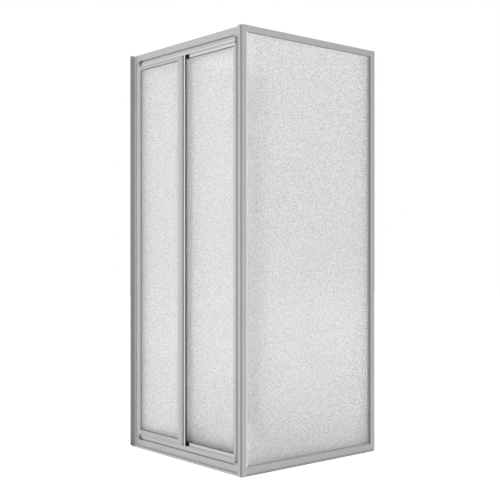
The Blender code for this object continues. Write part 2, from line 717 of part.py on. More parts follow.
def build_side_panel(side):
    """Rails, wall stile, wall channel, pane and gasket of a fixed side."""
    post_back = POST_FRONTS[side] + POST_DEPTH
    start = post_back + CLEARANCE
    end = SIDE_STILE_EDGE - CLEARANCE
    name = side + "_side_"
    top = on_side(side, side_rail_outline(HEIGHT, -1, SIDE_TOP_RAIL))
    profile(name + "top_rail", "Y", top, start, end, ALUMINIUM)
    bottom = on_side(side, side_rail_outline(RAIL_FOOT, 1, SIDE_BOTTOM_RAIL))
    profile(name + "bottom_rail", "Y", bottom, start, end, ALUMINIUM)
    stile = on_side(side, side_stile_outline())
    profile(name + "wall_stile", "Z", stile, RAIL_FOOT, HEIGHT, ALUMINIUM)
    outer = -WALL - CLEARANCE
    inner = WALL + CLEARANCE - SIDE_FRAME_DEPTH
    mouth = SIDE_SPAN - SIDE_CHANNEL_LEG
    base = SIDE_SPAN - WALL
    channel_outline = [
        (outer, mouth), (outer, SIDE_SPAN), (inner, SIDE_SPAN), (inner, mouth), (inner + WALL, mouth),
        (inner + WALL, base), (outer - WALL, base), (outer - WALL, mouth),
    ]
    outline = on_side(side, channel_outline)
    channel = profile(name + "wall_channel", "Z", outline, RAIL_FOOT, HEIGHT, ALUMINIUM)
    for height in fixing_heights(HEIGHT).values():
        place = Vector((side_x(side, (outer + inner) / 2), SIDE_SPAN, height + WALL_HOLE_RISE))
        bore(channel, "Y", place, WALL_HOLE_RADIUS, -OVERRUN / 2, OVERRUN / 2)
    low = (post_back, RAIL_FOOT + SIDE_BOTTOM_RAIL)
    high = (SIDE_STILE_EDGE, HEIGHT - SIDE_TOP_RAIL)
    middle = side_x(side, SIDE_PANE_X)
    pane_sheet(name + "pane", "X", middle, low, high)
    gasket_ring(name + "gasket", "X", middle, low, high)


# Door leaves

def hanger_outline(left, neck_left):
    """Hanger plate in (x, z), which stands on a leaf rail and reaches up to the roller."""
    right = left + HANGER_LENGTH
    foot = LEAF_RAIL_TOP + CLEARANCE
    shoulder = foot + HANGER_LOW
    tip = foot + HANGER_HIGH
    neck_right = neck_left + HANGER_NECK
    return [
        (left, foot), (right, foot), (right, shoulder), (neck_right, shoulder), (neck_right, tip),
        (neck_left, tip), (neck_left, shoulder), (left, shoulder),
    ]


def build_hanger(prefix, side, front, left, neck_left, carrier):
    """Hanger plate with the axle moulded on it, and its roller; returns the hanger."""
    plate_front = front + HANGER_SETBACK
    plate_back = plate_front + HANGER_THICKNESS
    name = prefix + "_" + side
    outline = hanger_outline(left, neck_left)
    hanger = profile(name + "_hanger", "Y", outline, plate_front, plate_back, BLACK_PLASTIC, carrier)
    axis_point = Vector((neck_left + HANGER_NECK / 2, plate_back, ROLLER_AXIS))
    collar_end = ROLLER_GAP - CLEARANCE
    roller_start = CLEARANCE + ROLLER_GAP
    roller_end = roller_start + ROLLER_WIDTH
    axle_points = [
        (0, -HANGER_THICKNESS / 2), (AXLE_COLLAR_RADIUS, -HANGER_THICKNESS / 2),
        (AXLE_COLLAR_RADIUS, collar_end), (AXLE_RADIUS, collar_end),
        (AXLE_RADIUS, roller_end + CLEARANCE), (0, roller_end + CLEARANCE),
    ]
    combine(hanger, turned_solid("Y", axis_point, axle_points, False), "UNION")
    hole = AXLE_RADIUS + AXLE_RUNNING_GAP
    shoulder = ROLLER_RADIUS - ROLLER_CHAMFER
    roller_points = [
        (hole, roller_start), (shoulder, roller_start), (ROLLER_RADIUS, roller_start + ROLLER_CHAMFER),
        (ROLLER_RADIUS, roller_end - ROLLER_CHAMFER), (shoulder, roller_end), (hole, roller_end),
    ]
    turned(name + "_roller", "Y", axis_point, roller_points, NYLON, carrier, closed=True, own_origin=True)
    return hanger


def guide_outline(left, foot_left):
    """Guide in (x, z): a shoulder that clears the corner connectors, and a foot in the track."""
    right = left + HANGER_LENGTH
    foot_right = foot_left + HANGER_NECK
    top = LEAF_FOOT - CLEARANCE
    shoulder = BOTTOM_GROOVE_BOTTOM + CLEARANCE
    low = RAIL_FOOT + WALL + GUIDE_FLOOR_GAP
    return [
        (left, top), (left, shoulder), (foot_left, shoulder), (foot_left, low), (foot_right, low),
        (foot_right, shoulder), (right, shoulder), (right, top),
    ]


def build_guide(prefix, side, front, left, foot_left, carrier):
    """Plastic guide under a leaf, which runs in the bottom track; returns it."""
    track_front = front - LEAF_SETBACK + GROOVE_DEPTH + GROOVE_WALL
    track_back = front - LEAF_SETBACK + WALL + TRACK_WIDTH
    name = prefix + "_" + side + "_guide"
    start = track_front + GUIDE_SIDE_GAP
    end = track_back - GUIDE_SIDE_GAP
    return profile(name, "Y", guide_outline(left, foot_left), start, end, BLACK_PLASTIC, carrier)


def build_leaf(prefix, left, front, top_rail, bottom_rail, right_width, rail_start, stile, carrier):
    """Left stile, rails, pane, gasket, hangers and guides that both leaves have.

    right_width is the width of the stile at the leaf's right, rail_start is how far
    its rails stop short of the left stile, and stile is that stile's foot and top.
    """
    right = left + LEAF_WIDTH
    sight_left = left + STILE_WIDTH
    sight_right = right - right_width
    top_sight = LEAF_RAIL_TOP - top_rail
    bottom_sight = LEAF_FOOT + bottom_rail
    rail_left = sight_left + rail_start + CLEARANCE
    rail_right = sight_right - CLEARANCE
    top = leaf_rail_outline(front, LEAF_RAIL_TOP, top_sight)
    profile(prefix + "_top_rail", "X", top, rail_left, rail_right, ALUMINIUM, carrier)
    bottom = leaf_rail_outline(front, LEAF_FOOT, bottom_sight)
    profile(prefix + "_bottom_rail", "X", bottom, rail_left, rail_right, ALUMINIUM, carrier)
    outline = leaf_stile_outline(front, left, sight_left)
    profile(prefix + "_left_stile", "Z", outline, stile[0], stile[1], ALUMINIUM, carrier)
    middle = front + LEAF_DEPTH / 2
    low = (sight_left, bottom_sight)
    high = (sight_right, top_sight)
    pane_sheet(prefix + "_pane", "Y", middle, low, high, carrier)
    gasket_ring(prefix + "_gasket", "Y", middle, low, high, carrier)
    block_left = sight_left + CLEARANCE
    left_neck = block_left + HANGER_NECK_START
    block_right = sight_right - CLEARANCE - HANGER_LENGTH
    right_neck = block_right + HANGER_LENGTH - HANGER_NECK_START - HANGER_NECK
    left_hanger = build_hanger(prefix, "left", front, block_left, left_neck, carrier)
    build_hanger(prefix, "right", front, block_right, right_neck, carrier)
    left_guide = build_guide(prefix, "left", front, block_left, left_neck, carrier)
    build_guide(prefix, "right", front, block_right, right_neck, carrier)
    return left_hanger, left_guide


def build_outer_leaf():
    """Leaf on the front track, with the finger pull and the overlap seal."""
    front = LEAF_TRACK_FRONTS[0]
    carrier = make_pivot("outer_leaf_slide", Vector((OUTER_LEFT, front + LEAF_DEPTH / 2, LEAF_FOOT)))
    stile = (BOTTOM_GROOVE_TOP + 2 * CLEARANCE, TOP_GROOVE_BOTTOM - 2 * CLEARANCE)
    build_leaf(
        "outer_leaf", OUTER_LEFT, front, OUTER_TOP_RAIL, OUTER_BOTTOM_RAIL, GRIP_WIDTH, 0, stile,
        carrier,
    )
    grip = grip_stile_outline(front, OUTER_RIGHT)
    profile("outer_leaf_grip_stile", "Z", grip, LEAF_FOOT, STILE_TOP, ALUMINIUM, carrier)
    base_left = OUTER_RIGHT - GRIP_WIDTH + SEAL_INSET
    base_right = base_left + SEAL_BASE_WIDTH
    fin_left = (base_left + base_right - SEAL_FIN) / 2
    base_front = front + LEAF_DEPTH + CLEARANCE
    base_back = base_front + SEAL_BASE
    tip = LEAF_TRACK_FRONTS[1] - SEAL_TIP_GAP
    seal = [
        (base_left, base_front), (base_right, base_front), (base_right, base_back),
        (fin_left + SEAL_FIN, base_back), (fin_left + SEAL_FIN, tip), (fin_left, tip),
        (fin_left, base_back), (base_left, base_back),
    ]
    builder = extrude_outline("Z", seal, BOTTOM_LIP_EDGE + CLEARANCE, TOP_LIP_EDGE - CLEARANCE)
    make_object("overlap_seal", builder, SEAL_PLASTIC, carrier)


def build_inner_leaf():
    """Leaf on the back track, with the closing stile, its magnetic strip and the corner plates."""
    front = LEAF_TRACK_FRONTS[1]
    carrier = make_pivot("inner_leaf_slide", Vector((INNER_LEFT, front + LEAF_DEPTH / 2, LEAF_FOOT)))
    hanger, guide = build_leaf(
        "inner_leaf", INNER_LEFT, front, INNER_TOP_RAIL, INNER_BOTTOM_RAIL,
        CLOSING_STILE_WIDTH, CORNER_PLATE_WIDTH, (LEAF_FOOT, STILE_TOP), carrier,
    )
    sight_right = INNER_RIGHT - CLOSING_STILE_WIDTH
    stile = leaf_stile_outline(front, INNER_RIGHT, sight_right)
    profile("inner_leaf_closing_stile", "Z", stile, LEAF_FOOT, STILE_TOP, ALUMINIUM, carrier)
    strip_left = INNER_RIGHT + CLEARANCE
    strip = magnet_outline(strip_left, strip_left + MAGNET_WIDTH)
    profile("leaf_magnetic_strip", "Z", strip, STRIP_LOW, STRIP_HIGH, SEAL_PLASTIC, carrier)
    plate_left = INNER_LEFT + STILE_WIDTH + CLEARANCE
    plate_right = plate_left + CORNER_PLATE_WIDTH - CLEARANCE
    plate_back = front + LEAF_WALL
    lap_back = front + HANGER_SETBACK + HANGER_THICKNESS / 2
    top_low = LEAF_RAIL_TOP - INNER_TOP_RAIL - CORNER_PLATE_DROP
    top_joint = LEAF_RAIL_TOP + CLEARANCE
    top = l_plate(front, plate_back, lap_back, top_low, top_joint, top_joint + CORNER_PLATE_LAP)
    combine(hanger, extrude_outline("X", top, plate_left, plate_right), "UNION")
    bottom_high = LEAF_FOOT + INNER_BOTTOM_RAIL + CORNER_PLATE_DROP
    joint = LEAF_FOOT - CLEARANCE
    bottom = l_plate(front, plate_back, lap_back, bottom_high, joint, joint - CORNER_PLATE_LAP)
    combine(guide, extrude_outline("X", bottom, plate_left, plate_right), "UNION")


def l_plate(front, plate_back, lap_back, far_edge, joint, lap_edge):
    """Corner plate in (y, z): thin over the pane, thicker past the joint where it meets its carrier."""
    return [
        (front, far_edge), (plate_back, far_edge), (plate_back, joint), (lap_back, joint),
        (lap_back, lap_edge), (front, lap_edge),
    ]


def build_enclosure():
    """Build every piece."""
    clear_scene()
    build_sills()
    channel = build_end_channel()
    build_end_jamb(channel)
    build_door_rails()
    build_track_stops()
    build_closing_jamb()
    posts = {side: build_post(side) for side in POST_FRONTS}
    bore_left_post(posts["left"])
    for side in POST_FRONTS:
        build_side_panel(side)
    build_outer_leaf()
    build_inner_leaf()


build_enclosure()
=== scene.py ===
# %% [markdown]
# # A three-sided shower enclosure
# The enclosure is a doorway with two sliding leaves, and a fixed side panel
# at each end of it that runs back to the wall. Its solids are built already,
# so this lesson starts from them and gives them what a workshop drawing
# leaves out: drawn and anodised metal, stippled milky acrylic, moulded
# plastics, wiper fins, glazing beads and soft seals.

import math

import bmesh
import bpy
import numpy as np
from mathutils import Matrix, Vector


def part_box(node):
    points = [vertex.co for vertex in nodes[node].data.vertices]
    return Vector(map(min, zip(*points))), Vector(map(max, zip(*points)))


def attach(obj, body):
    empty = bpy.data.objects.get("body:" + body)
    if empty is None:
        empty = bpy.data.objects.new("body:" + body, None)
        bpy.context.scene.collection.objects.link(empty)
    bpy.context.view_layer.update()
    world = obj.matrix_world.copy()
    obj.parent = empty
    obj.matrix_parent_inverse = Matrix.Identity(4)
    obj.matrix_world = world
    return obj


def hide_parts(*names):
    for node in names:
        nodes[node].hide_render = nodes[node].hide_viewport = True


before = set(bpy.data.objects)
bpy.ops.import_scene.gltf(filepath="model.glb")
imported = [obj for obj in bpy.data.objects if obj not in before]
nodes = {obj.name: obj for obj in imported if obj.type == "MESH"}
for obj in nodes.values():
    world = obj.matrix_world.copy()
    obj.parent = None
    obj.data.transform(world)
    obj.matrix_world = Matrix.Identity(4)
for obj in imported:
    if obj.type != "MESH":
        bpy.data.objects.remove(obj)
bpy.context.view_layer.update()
ACROSS, DEEP, UPRIGHT = range(3)     # the axes x, y and z

# %% [markdown]
# ## The camera
# The picture was taken from about the middle of the enclosure's height, with
# the lens level, so every upright stays parallel to the picture's side. A
# camera that looks along the horizon does the same. The small upward shift
# moves the horizon a few pixels below the picture's middle without tilting
# the lens, which would make the uprights lean.

# %% Place the camera
PICTURE_WIDTH = 500          # pixels, and the height is the same
FOCAL_PIXELS = 926           # distance of the picture plane, in pixels
HORIZON_ROW = 254            # row of the picture that is level with the lens
SENSOR_WIDTH = 36            # mm
CAMERA_PLACE = (3.3181, -2.8044, 0.9121)     # metres
CAMERA_TURN = math.radians(49.75)

camera_data = bpy.data.cameras.new("picture_camera")
camera_data.sensor_width = SENSOR_WIDTH
camera_data.lens = SENSOR_WIDTH * FOCAL_PIXELS / PICTURE_WIDTH
camera_data.shift_y = (HORIZON_ROW - PICTURE_WIDTH / 2) / PICTURE_WIDTH
camera = bpy.data.objects.new("picture_camera", camera_data)
camera.location = CAMERA_PLACE
camera.rotation_euler = (math.pi / 2, 0, CAMERA_TURN)
scene = bpy.context.scene
scene.collection.objects.link(camera)
scene.camera = camera
scene.view_settings.view_transform = "Standard"
print("lens:", round(camera_data.lens, 2), "mm")

# %% [markdown]
# ## Floor, backdrop and lamps
# A studio picture cut out on white still needs light that comes from
# somewhere. The world is white wherever the camera, a reflection or the
# milky panes look at it, and a little dimmer as a source of light. The floor
# is a pale plane. It glows only for the camera and for reflections, so it
# reads as white but keeps the shadow that shows where the enclosure stands.
# A strong soft lamp stands in front on the right and a weak one in front on
# the left, because the door's faces are a step brighter than the side
# panel's.

# %% Helpers for materials
def new_material(name):
    """A material with a node tree, and its tree and main shader."""
    material = bpy.data.materials.new(name)
    material.use_nodes = True
    tree = material.node_tree
    return material, tree, tree.nodes["Principled BSDF"]


def add_node(tree, kind, **settings):
    """A node of that kind. Settings named like an input set its value."""
    node = tree.nodes.new(kind)
    for name, value in settings.items():
        if name in node.inputs:
            node.inputs[name].default_value = value
        else:
            setattr(node, name, value)
    return node


def seen_not_lit(tree, through_panes):
    """1 for the camera and reflections, and for panes if asked, else 0."""
    path = add_node(tree, "ShaderNodeLightPath")
    first = add_node(tree, "ShaderNodeMath", operation="MAXIMUM")
    tree.links.new(path.outputs["Is Camera Ray"], first.inputs[0])
    tree.links.new(path.outputs["Is Glossy Ray"], first.inputs[1])
    if not through_panes:
        return first.outputs[0]
    both = add_node(tree, "ShaderNodeMath", operation="MAXIMUM")
    tree.links.new(first.outputs[0], both.inputs[0])
    tree.links.new(path.outputs["Is Transmission Ray"], both.inputs[1])
    return both.outputs[0]


# %% Light the world
WORLD_LIGHT = 0.87           # strength as a source of light; 1 is white
world = bpy.data.worlds.new("studio_white")
world.use_nodes = True
scene.world = world
sky = world.node_tree
sky.nodes.clear()
lighting = add_node(sky, "ShaderNodeBackground", Strength=WORLD_LIGHT)
backdrop = add_node(sky, "ShaderNodeBackground", Strength=1.0)
for node in (lighting, backdrop):
    node.inputs["Color"].default_value = (1, 1, 1, 1)
choose = add_node(sky, "ShaderNodeMixShader")
world_output = add_node(sky, "ShaderNodeOutputWorld")
sky.links.new(seen_not_lit(sky, True), choose.inputs[0])
sky.links.new(lighting.outputs[0], choose.inputs[1])
sky.links.new(backdrop.outputs[0], choose.inputs[2])
sky.links.new(choose.outputs[0], world_output.inputs[0])
print("world light:", WORLD_LIGHT)

# %% Lay the floor
FLOOR_HALF = 14.0            # metres from the middle to an edge
FLOOR_PALE = (0.9, 0.9, 0.9, 1)
FLOOR_LIFT = 0.5             # glow that the camera sees on the lit floor
FLOOR_ROUGHNESS = 0.9
FLOOR_GLOSS = 0.1
corners = [(-FLOOR_HALF, -FLOOR_HALF, 0), (FLOOR_HALF, -FLOOR_HALF, 0),
           (FLOOR_HALF, FLOOR_HALF, 0), (-FLOOR_HALF, FLOOR_HALF, 0)]
floor_mesh = bpy.data.meshes.new("studio_floor")
floor_mesh.from_pydata(corners, [], [(0, 1, 2, 3)])
floor = bpy.data.objects.new("studio_floor", floor_mesh)
scene.collection.objects.link(floor)
floor_paint, tree, shader = new_material("pale_floor")
shader.inputs["Base Color"].default_value = FLOOR_PALE
shader.inputs["Roughness"].default_value = FLOOR_ROUGHNESS
shader.inputs["Specular IOR Level"].default_value = FLOOR_GLOSS
shader.inputs["Emission Color"].default_value = (1, 1, 1, 1)
glow = add_node(tree, "ShaderNodeMath", operation="MULTIPLY")
glow.inputs[1].default_value = FLOOR_LIFT
tree.links.new(seen_not_lit(tree, False), glow.inputs[0])
tree.links.new(glow.outputs[0], shader.inputs["Emission Strength"])
floor_mesh.materials.append(floor_paint)
print("floor side:", 2 * FLOOR_HALF, "m")

# %% Hang the lamps
AIM = (0.0, 0.0, 0.95)       # about the middle of the enclosure


def soft_lamp(name, place, size, power):
    """A square soft lamp at a place, turned to the enclosure's middle."""
    data = bpy.data.lights.new(name, "AREA")
    data.size = size
    data.energy = power
    lamp = bpy.data.objects.new(name, data)
    scene.collection.objects.link(lamp)
    offset = np.array(place) - np.array(AIM)
    lamp.location = place
    level = math.hypot(offset[0], offset[1])
    lamp.rotation_euler = (math.atan2(level, offset[2]), 0,
                           math.atan2(offset[0], -offset[1]))
    return lamp


soft_lamp("left_lamp", (-2.9, -2.9, 1.3), size=2.6, power=14)
soft_lamp("right_lamp", (2.6, -3.8, 1.3), size=2.4, power=76)

# %% [markdown]
# ## Drawn aluminium
# The bars are drawn through a die and then anodised. The die leaves faint
# lines that run along each bar, and the anodising is a satin grey that is
# never quite even. Both come from one node group: a noise pulled out long
# along the bar for the lines, and a slow, wide noise for the cloudiness. The
# group is placed in one material for each direction that a bar runs. The
# oxide skin scatters light before the metal mirrors it, so the finish is
# only partly metallic, which also keeps the deep tracks from going black.

# %% Grain as a node group
NOISE_MIDDLE = 0.5           # a noise runs from 0 to 1 about this value


def drawn_grain_group():
    """Lines along a bar, and slow clouds. Puts out a shade and a height."""
    group = bpy.data.node_groups.new("drawn_grain", "ShaderNodeTree")
    for name, kind, way in (("Lines", "NodeSocketVector", "INPUT"),
                            ("Clouds", "NodeSocketVector", "INPUT"),
                            ("Line Contrast", "NodeSocketFloat", "INPUT"),
                            ("Cloud Contrast", "NodeSocketFloat", "INPUT"),
                            ("Shade", "NodeSocketFloat", "OUTPUT"),
                            ("Height", "NodeSocketFloat", "OUTPUT")):
        group.interface.new_socket(name, in_out=way, socket_type=kind)
    inside = add_node(group, "NodeGroupInput")
    outside = add_node(group, "NodeGroupOutput")
    lines = add_node(group, "ShaderNodeTexNoise", Scale=1.0, Detail=4.0)
    clouds = add_node(group, "ShaderNodeTexNoise", Scale=1.0, Detail=2.0)
    group.links.new(inside.outputs["Lines"], lines.inputs["Vector"])
    group.links.new(inside.outputs["Clouds"], clouds.inputs["Vector"])
    sides = []
    for noise, contrast in ((lines, "Line Contrast"),
                            (clouds, "Cloud Contrast")):
        centred = add_node(group, "ShaderNodeMath", operation="SUBTRACT")
        centred.inputs[1].default_value = NOISE_MIDDLE
        scaled = add_node(group, "ShaderNodeMath", operation="MULTIPLY")
        group.links.new(noise.outputs["Fac"], centred.inputs[0])
        group.links.new(centred.outputs[0], scaled.inputs[0])
        group.links.new(inside.outputs[contrast], scaled.inputs[1])
        sides.append(scaled)
    total = add_node(group, "ShaderNodeMath", operation="ADD")
    group.links.new(sides[0].outputs[0], total.inputs[0])
    group.links.new(sides[1].outputs[0], total.inputs[1])
    shade = add_node(group, "ShaderNodeMath", operation="ADD")
    shade.inputs[1].default_value = 1.0
    group.links.new(total.outputs[0], shade.inputs[0])
    group.links.new(shade.outputs[0], outside.inputs["Shade"])
    group.links.new(lines.outputs["Fac"], outside.inputs["Height"])
    return group


drawn_grain = drawn_grain_group()
print("sockets of the grain:", len(drawn_grain.interface.items_tree))

# %% Helpers for colours and places
COLOUR_A = 6                 # sockets of a mix node that mixes colours
COLOUR_B = 7
COLOUR_OUT = 2


def tinted(tree, colour, shade):
    """That colour times a shade that changes over the surface."""
    mix = add_node(tree, "ShaderNodeMix", data_type="RGBA",
                   blend_type="MULTIPLY")
    mix.inputs["Factor"].default_value = 1.0
    mix.inputs[COLOUR_A].default_value = (*colour, 1)
    tree.links.new(shade, mix.inputs[COLOUR_B])
    return mix.outputs[COLOUR_OUT]


def stretched(tree, scales, turn=(0, 0, 0)):
    """Object coordinates turned and scaled, in repeats per metre."""
    place = add_node(tree, "ShaderNodeTexCoord")
    mapping = add_node(tree, "ShaderNodeMapping")
    mapping.inputs["Scale"].default_value = scales
    mapping.inputs["Rotation"].default_value = turn
    tree.links.new(place.outputs["Object"], mapping.inputs["Vector"])
    return mapping.outputs["Vector"]


# %% Aluminium for each direction
SATIN = 0.40                 # grey of the anodised bars
# a dark grey for trims that are painted shade
SHADE_SATIN = 0.21            # grey of the dark trims
# the sill strips' darker grey is painted shade of their recess
SILL_SATIN = 0.28            # grey of the strips under the side panels
# the end channel's darker grey is painted shade of the corner beside the door
END_SATIN = 0.27             # grey of the end channel
# a paler grey: painted light that lifts the shade the end channel casts on the
# bars beside it
LIFTED_SATIN = 0.52            # grey of the bar that the end channel shades
METALLIC = 0.35              # the rest is the scattering oxide skin
ALUMINIUM_ROUGHNESS = 0.45
LINES_ACROSS = 900.0         # grain lines a metre
LINES_ALONG = 3.0            # how often a line changes along a metre
CLOUDS = 9.0                 # clouds a metre
LINE_CONTRAST = 0.16         # how far the lines change the grey
CLOUD_CONTRAST = 0.08
GRAIN_BUMP = 0.12            # strength of the lines' relief
GRAIN_DEPTH = 0.0002         # metres


def aluminium(name, run, grey):
    """Satin anodised aluminium whose grain runs along one axis."""
    material, tree, shader = new_material(name)
    scales = [LINES_ACROSS] * 3
    scales[run] = LINES_ALONG
    grain = add_node(tree, "ShaderNodeGroup", node_tree=drawn_grain)
    grain.inputs["Line Contrast"].default_value = LINE_CONTRAST
    grain.inputs["Cloud Contrast"].default_value = CLOUD_CONTRAST
    tree.links.new(stretched(tree, scales), grain.inputs["Lines"])
    tree.links.new(stretched(tree, [CLOUDS] * 3), grain.inputs["Clouds"])
    colour = tinted(tree, (grey, grey, grey), grain.outputs["Shade"])
    tree.links.new(colour, shader.inputs["Base Color"])
    rough = add_node(tree, "ShaderNodeMath", operation="MULTIPLY")
    rough.inputs[1].default_value = ALUMINIUM_ROUGHNESS
    tree.links.new(grain.outputs["Shade"], rough.inputs[0])
    tree.links.new(rough.outputs[0], shader.inputs["Roughness"])
    shader.inputs["Metallic"].default_value = METALLIC
    bump = add_node(tree, "ShaderNodeBump", Strength=GRAIN_BUMP,
                    Distance=GRAIN_DEPTH)
    tree.links.new(grain.outputs["Height"], bump.inputs["Height"])
    tree.links.new(bump.outputs["Normal"], shader.inputs["Normal"])
    return material


bar_finishes = [aluminium("aluminium_across", ACROSS, SATIN),
                aluminium("aluminium_deep", DEEP, SATIN),
                aluminium("aluminium_upright", UPRIGHT, SATIN)]
shade_upright = aluminium("aluminium_upright_painted_shade", UPRIGHT, SHADE_SATIN)
shade_deep = aluminium("aluminium_deep_painted_shade", DEEP, SILL_SATIN)
end_upright = aluminium("aluminium_end_channel_painted_shade", UPRIGHT, END_SATIN)
lifted_upright = aluminium("aluminium_upright_painted_light", UPRIGHT, LIFTED_SATIN)
print("aluminium finishes:", [m.name for m in bar_finishes])

# %% [markdown]
# ## Stippled acrylic
# The panes are a milky acrylic sheet, rolled with a fine stipple of three or
# four millimetres that hides what is behind. About half of the light is
# scattered inside the sheet, which therefore glows on its dark side and
# shades softly where the frame stands close behind it. The other half goes
# straight through, bent only by the stipple, so that the far panel's frame
# shows as a soft dark band. Light scattered under the surface gives the
# first, a slightly rough transmission the second, and a noise of the
# stipple's size gives the small bright and dark spots. Towards the frame
# each sheet carries its own painted rim shade, most at the foot: painted
# shadow of the frame, and in places painted light that makes the sheet
# paler. The side sheets have a paler tint than the door's, painted light
# for the weaker light that reaches them.

# %% The pane's stipple
# the side sheets' paler tint is painted light for the weaker light that reaches
# them
DOOR_TINT = (0.93, 0.93, 0.93)
SIDE_TINT = (0.98, 0.98, 0.98)
STIPPLE_SCALE = 280.0        # stipple bumps a metre
STIPPLE_TURN = (0.6, 0.4, 0.8)     # keeps the noise's flat layers off a sheet
DOOR_SPOTS = (0.50, 1.16)    # shades of the darkest and the palest spots
SIDE_SPOTS = (0.42, 1.25)
DOOR_CLEAR = 0.45            # share of the light that goes straight through
SIDE_CLEAR = 0.55
PANE_ROUGHNESS = 0.06
NOISE_RANGE = (0.3, 0.7)     # the noise's values that give those two shades
ACRYLIC_INDEX = 1.49         # how strongly the sheet bends light
SCATTER_DEPTH = 0.004        # metres that light wanders under the surface
STIPPLE_BUMP = 0.4           # strength of the stipple's relief
STIPPLE_DEPTH = 0.001        # metres


def stippled_acrylic(name, tint, clear, spot_shades):
    """Milky sheet that scatters a share of the light and lets the rest by."""
    material, tree, shader = new_material(name)
    place = stretched(tree, [STIPPLE_SCALE] * 3, STIPPLE_TURN)
    cells = add_node(tree, "ShaderNodeTexNoise", Scale=1.0, Detail=1.0)
    tree.links.new(place, cells.inputs["Vector"])
    spots = add_node(tree, "ShaderNodeMapRange")
    spots.inputs["From Min"].default_value = NOISE_RANGE[0]
    spots.inputs["From Max"].default_value = NOISE_RANGE[1]
    spots.inputs["To Min"].default_value = spot_shades[0]
    spots.inputs["To Max"].default_value = spot_shades[1]
    tree.links.new(cells.outputs["Fac"], spots.inputs["Value"])
    # the sheet's painted rim shade darkens or pales its colour
    rim = add_node(tree, "ShaderNodeAttribute", attribute_name="painted_rim_shade")
    shade = add_node(tree, "ShaderNodeMath", operation="MULTIPLY")
    tree.links.new(spots.outputs["Result"], shade.inputs[0])
    tree.links.new(rim.outputs["Fac"], shade.inputs[1])
    colour = tinted(tree, tint, shade.outputs[0])
    tree.links.new(colour, shader.inputs["Base Color"])
    shader.inputs["Roughness"].default_value = PANE_ROUGHNESS
    shader.inputs["Transmission Weight"].default_value = clear
    shader.inputs["IOR"].default_value = ACRYLIC_INDEX
    shader.inputs["Subsurface Weight"].default_value = 1.0
    shader.inputs["Subsurface Radius"].default_value = (1, 1, 1)
    shader.inputs["Subsurface Scale"].default_value = SCATTER_DEPTH
    bump = add_node(tree, "ShaderNodeBump", Strength=STIPPLE_BUMP,
                    Distance=STIPPLE_DEPTH)
    tree.links.new(cells.outputs["Fac"], bump.inputs["Height"])
    tree.links.new(bump.outputs["Normal"], shader.inputs["Normal"])
    return material


door_acrylic = stippled_acrylic("stippled_acrylic_door", DOOR_TINT,
                                DOOR_CLEAR, DOOR_SPOTS)
side_acrylic = stippled_acrylic("stippled_acrylic_side", SIDE_TINT,
                                SIDE_CLEAR, SIDE_SPOTS)
print("acrylic finishes:", door_acrylic.name, side_acrylic.name)

# %% [markdown]
# ## Moulded plastics, rubber, nylon and steel
# Small fittings are moulded. Each has a fine spark-eroded texture from its
# mould, a colour that drifts a little, and its own gloss. One function makes
# all of them from a colour, a roughness and the size of the texture.

# %% Moulded finishes
MOULD_BUMP = 0.3             # strength of the texture's relief


def moulded(name, grey, roughness, scale, drift, depth, metallic=0.0):
    """A finish with a fine even texture.

    scale is its repeats a metre, drift the share by which the grey changes
    and depth its depth in metres.
    """
    material, tree, shader = new_material(name)
    noise = add_node(tree, "ShaderNodeTexNoise", Scale=1.0, Detail=3.0)
    tree.links.new(stretched(tree, [scale] * 3), noise.inputs["Vector"])
    shade = add_node(tree, "ShaderNodeMapRange")
    shade.inputs["To Min"].default_value = 1 - drift
    shade.inputs["To Max"].default_value = 1 + drift
    tree.links.new(noise.outputs["Fac"], shade.inputs["Value"])
    colour = tinted(tree, (grey, grey, grey), shade.outputs["Result"])
    tree.links.new(colour, shader.inputs["Base Color"])
    rough = add_node(tree, "ShaderNodeMath", operation="MULTIPLY")
    rough.inputs[1].default_value = roughness
    tree.links.new(shade.outputs["Result"], rough.inputs[0])
    tree.links.new(rough.outputs[0], shader.inputs["Roughness"])
    shader.inputs["Metallic"].default_value = metallic
    bump = add_node(tree, "ShaderNodeBump", Strength=MOULD_BUMP,
                    Distance=depth)
    tree.links.new(noise.outputs["Fac"], bump.inputs["Height"])
    tree.links.new(bump.outputs["Normal"], shader.inputs["Normal"])
    return material


# name, grey, roughness, scale, drift and depth
gasket_rubber = moulded("gasket_rubber_grey", 0.12, 0.55, 700, 0.15, 0.0002)
black_plastic = moulded("black_plastic_moulded", 0.02, 0.45, 1100, 0.3,
                        0.0002)
grey_plastic = moulded("grey_plastic_moulded", 0.39, 0.45, 1100, 0.08,
                       0.0002)
# the pale grey of the wiper fin is the seal's colour and also a painted
# highlight along the lip's lower edge
pale_fin = moulded("wiper_fin_pale", 0.48, 0.5, 800, 0.06, 0.0001)
pile = moulded("pile_strip_white", 0.85, 0.9, 2600, 0.15, 0.0008)
# dark grey bead in each groove: painted shade that deepens its line
groove_shade = moulded("groove_bead_grey", 0.18, 0.6, 700, 0.12, 0.0002)
bead_grey = moulded("glazing_bead_grey", 0.34, 0.55, 700, 0.12, 0.0002)
trim_pale = moulded("trim_pale", 0.85, 0.5, 900, 0.06, 0.0001)
# pale and grey covers: painted light that lifts the shade of the tracks, and on
# the grip's lip a painted highlight
pale_cover = moulded("cover_pale_painted_light", 0.66, 0.5, 900, 0.06, 0.0001)
grey_cover = moulded("cover_grey_painted_light", 0.56, 0.5, 900, 0.06, 0.0001)
finishes = {
    "acrylic": door_acrylic,
    "gasket_plastic": gasket_rubber,
    "black_plastic": black_plastic,
    "grey_plastic": grey_plastic,
    "seal_plastic": moulded("seal_plastic_soft", 0.3, 0.55, 600, 0.12,
                            0.0002),
    "rubber": moulded("rubber_matt", 0.03, 0.7, 900, 0.3, 0.0003),
    "steel": moulded("steel_plain", 0.55, 0.3, 500, 0.1, 0.0001,
                     metallic=1.0),
    "nylon": moulded("nylon_moulded", 0.75, 0.5, 1000, 0.06, 0.0002),
}
print("finishes by slot:", len(finishes))

# %% Give every solid its finish
def longest_side(node):
    """The axis along which a solid's box is longest."""
    low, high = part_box(node)
    return int(np.argmax(np.array(high) - np.array(low)))
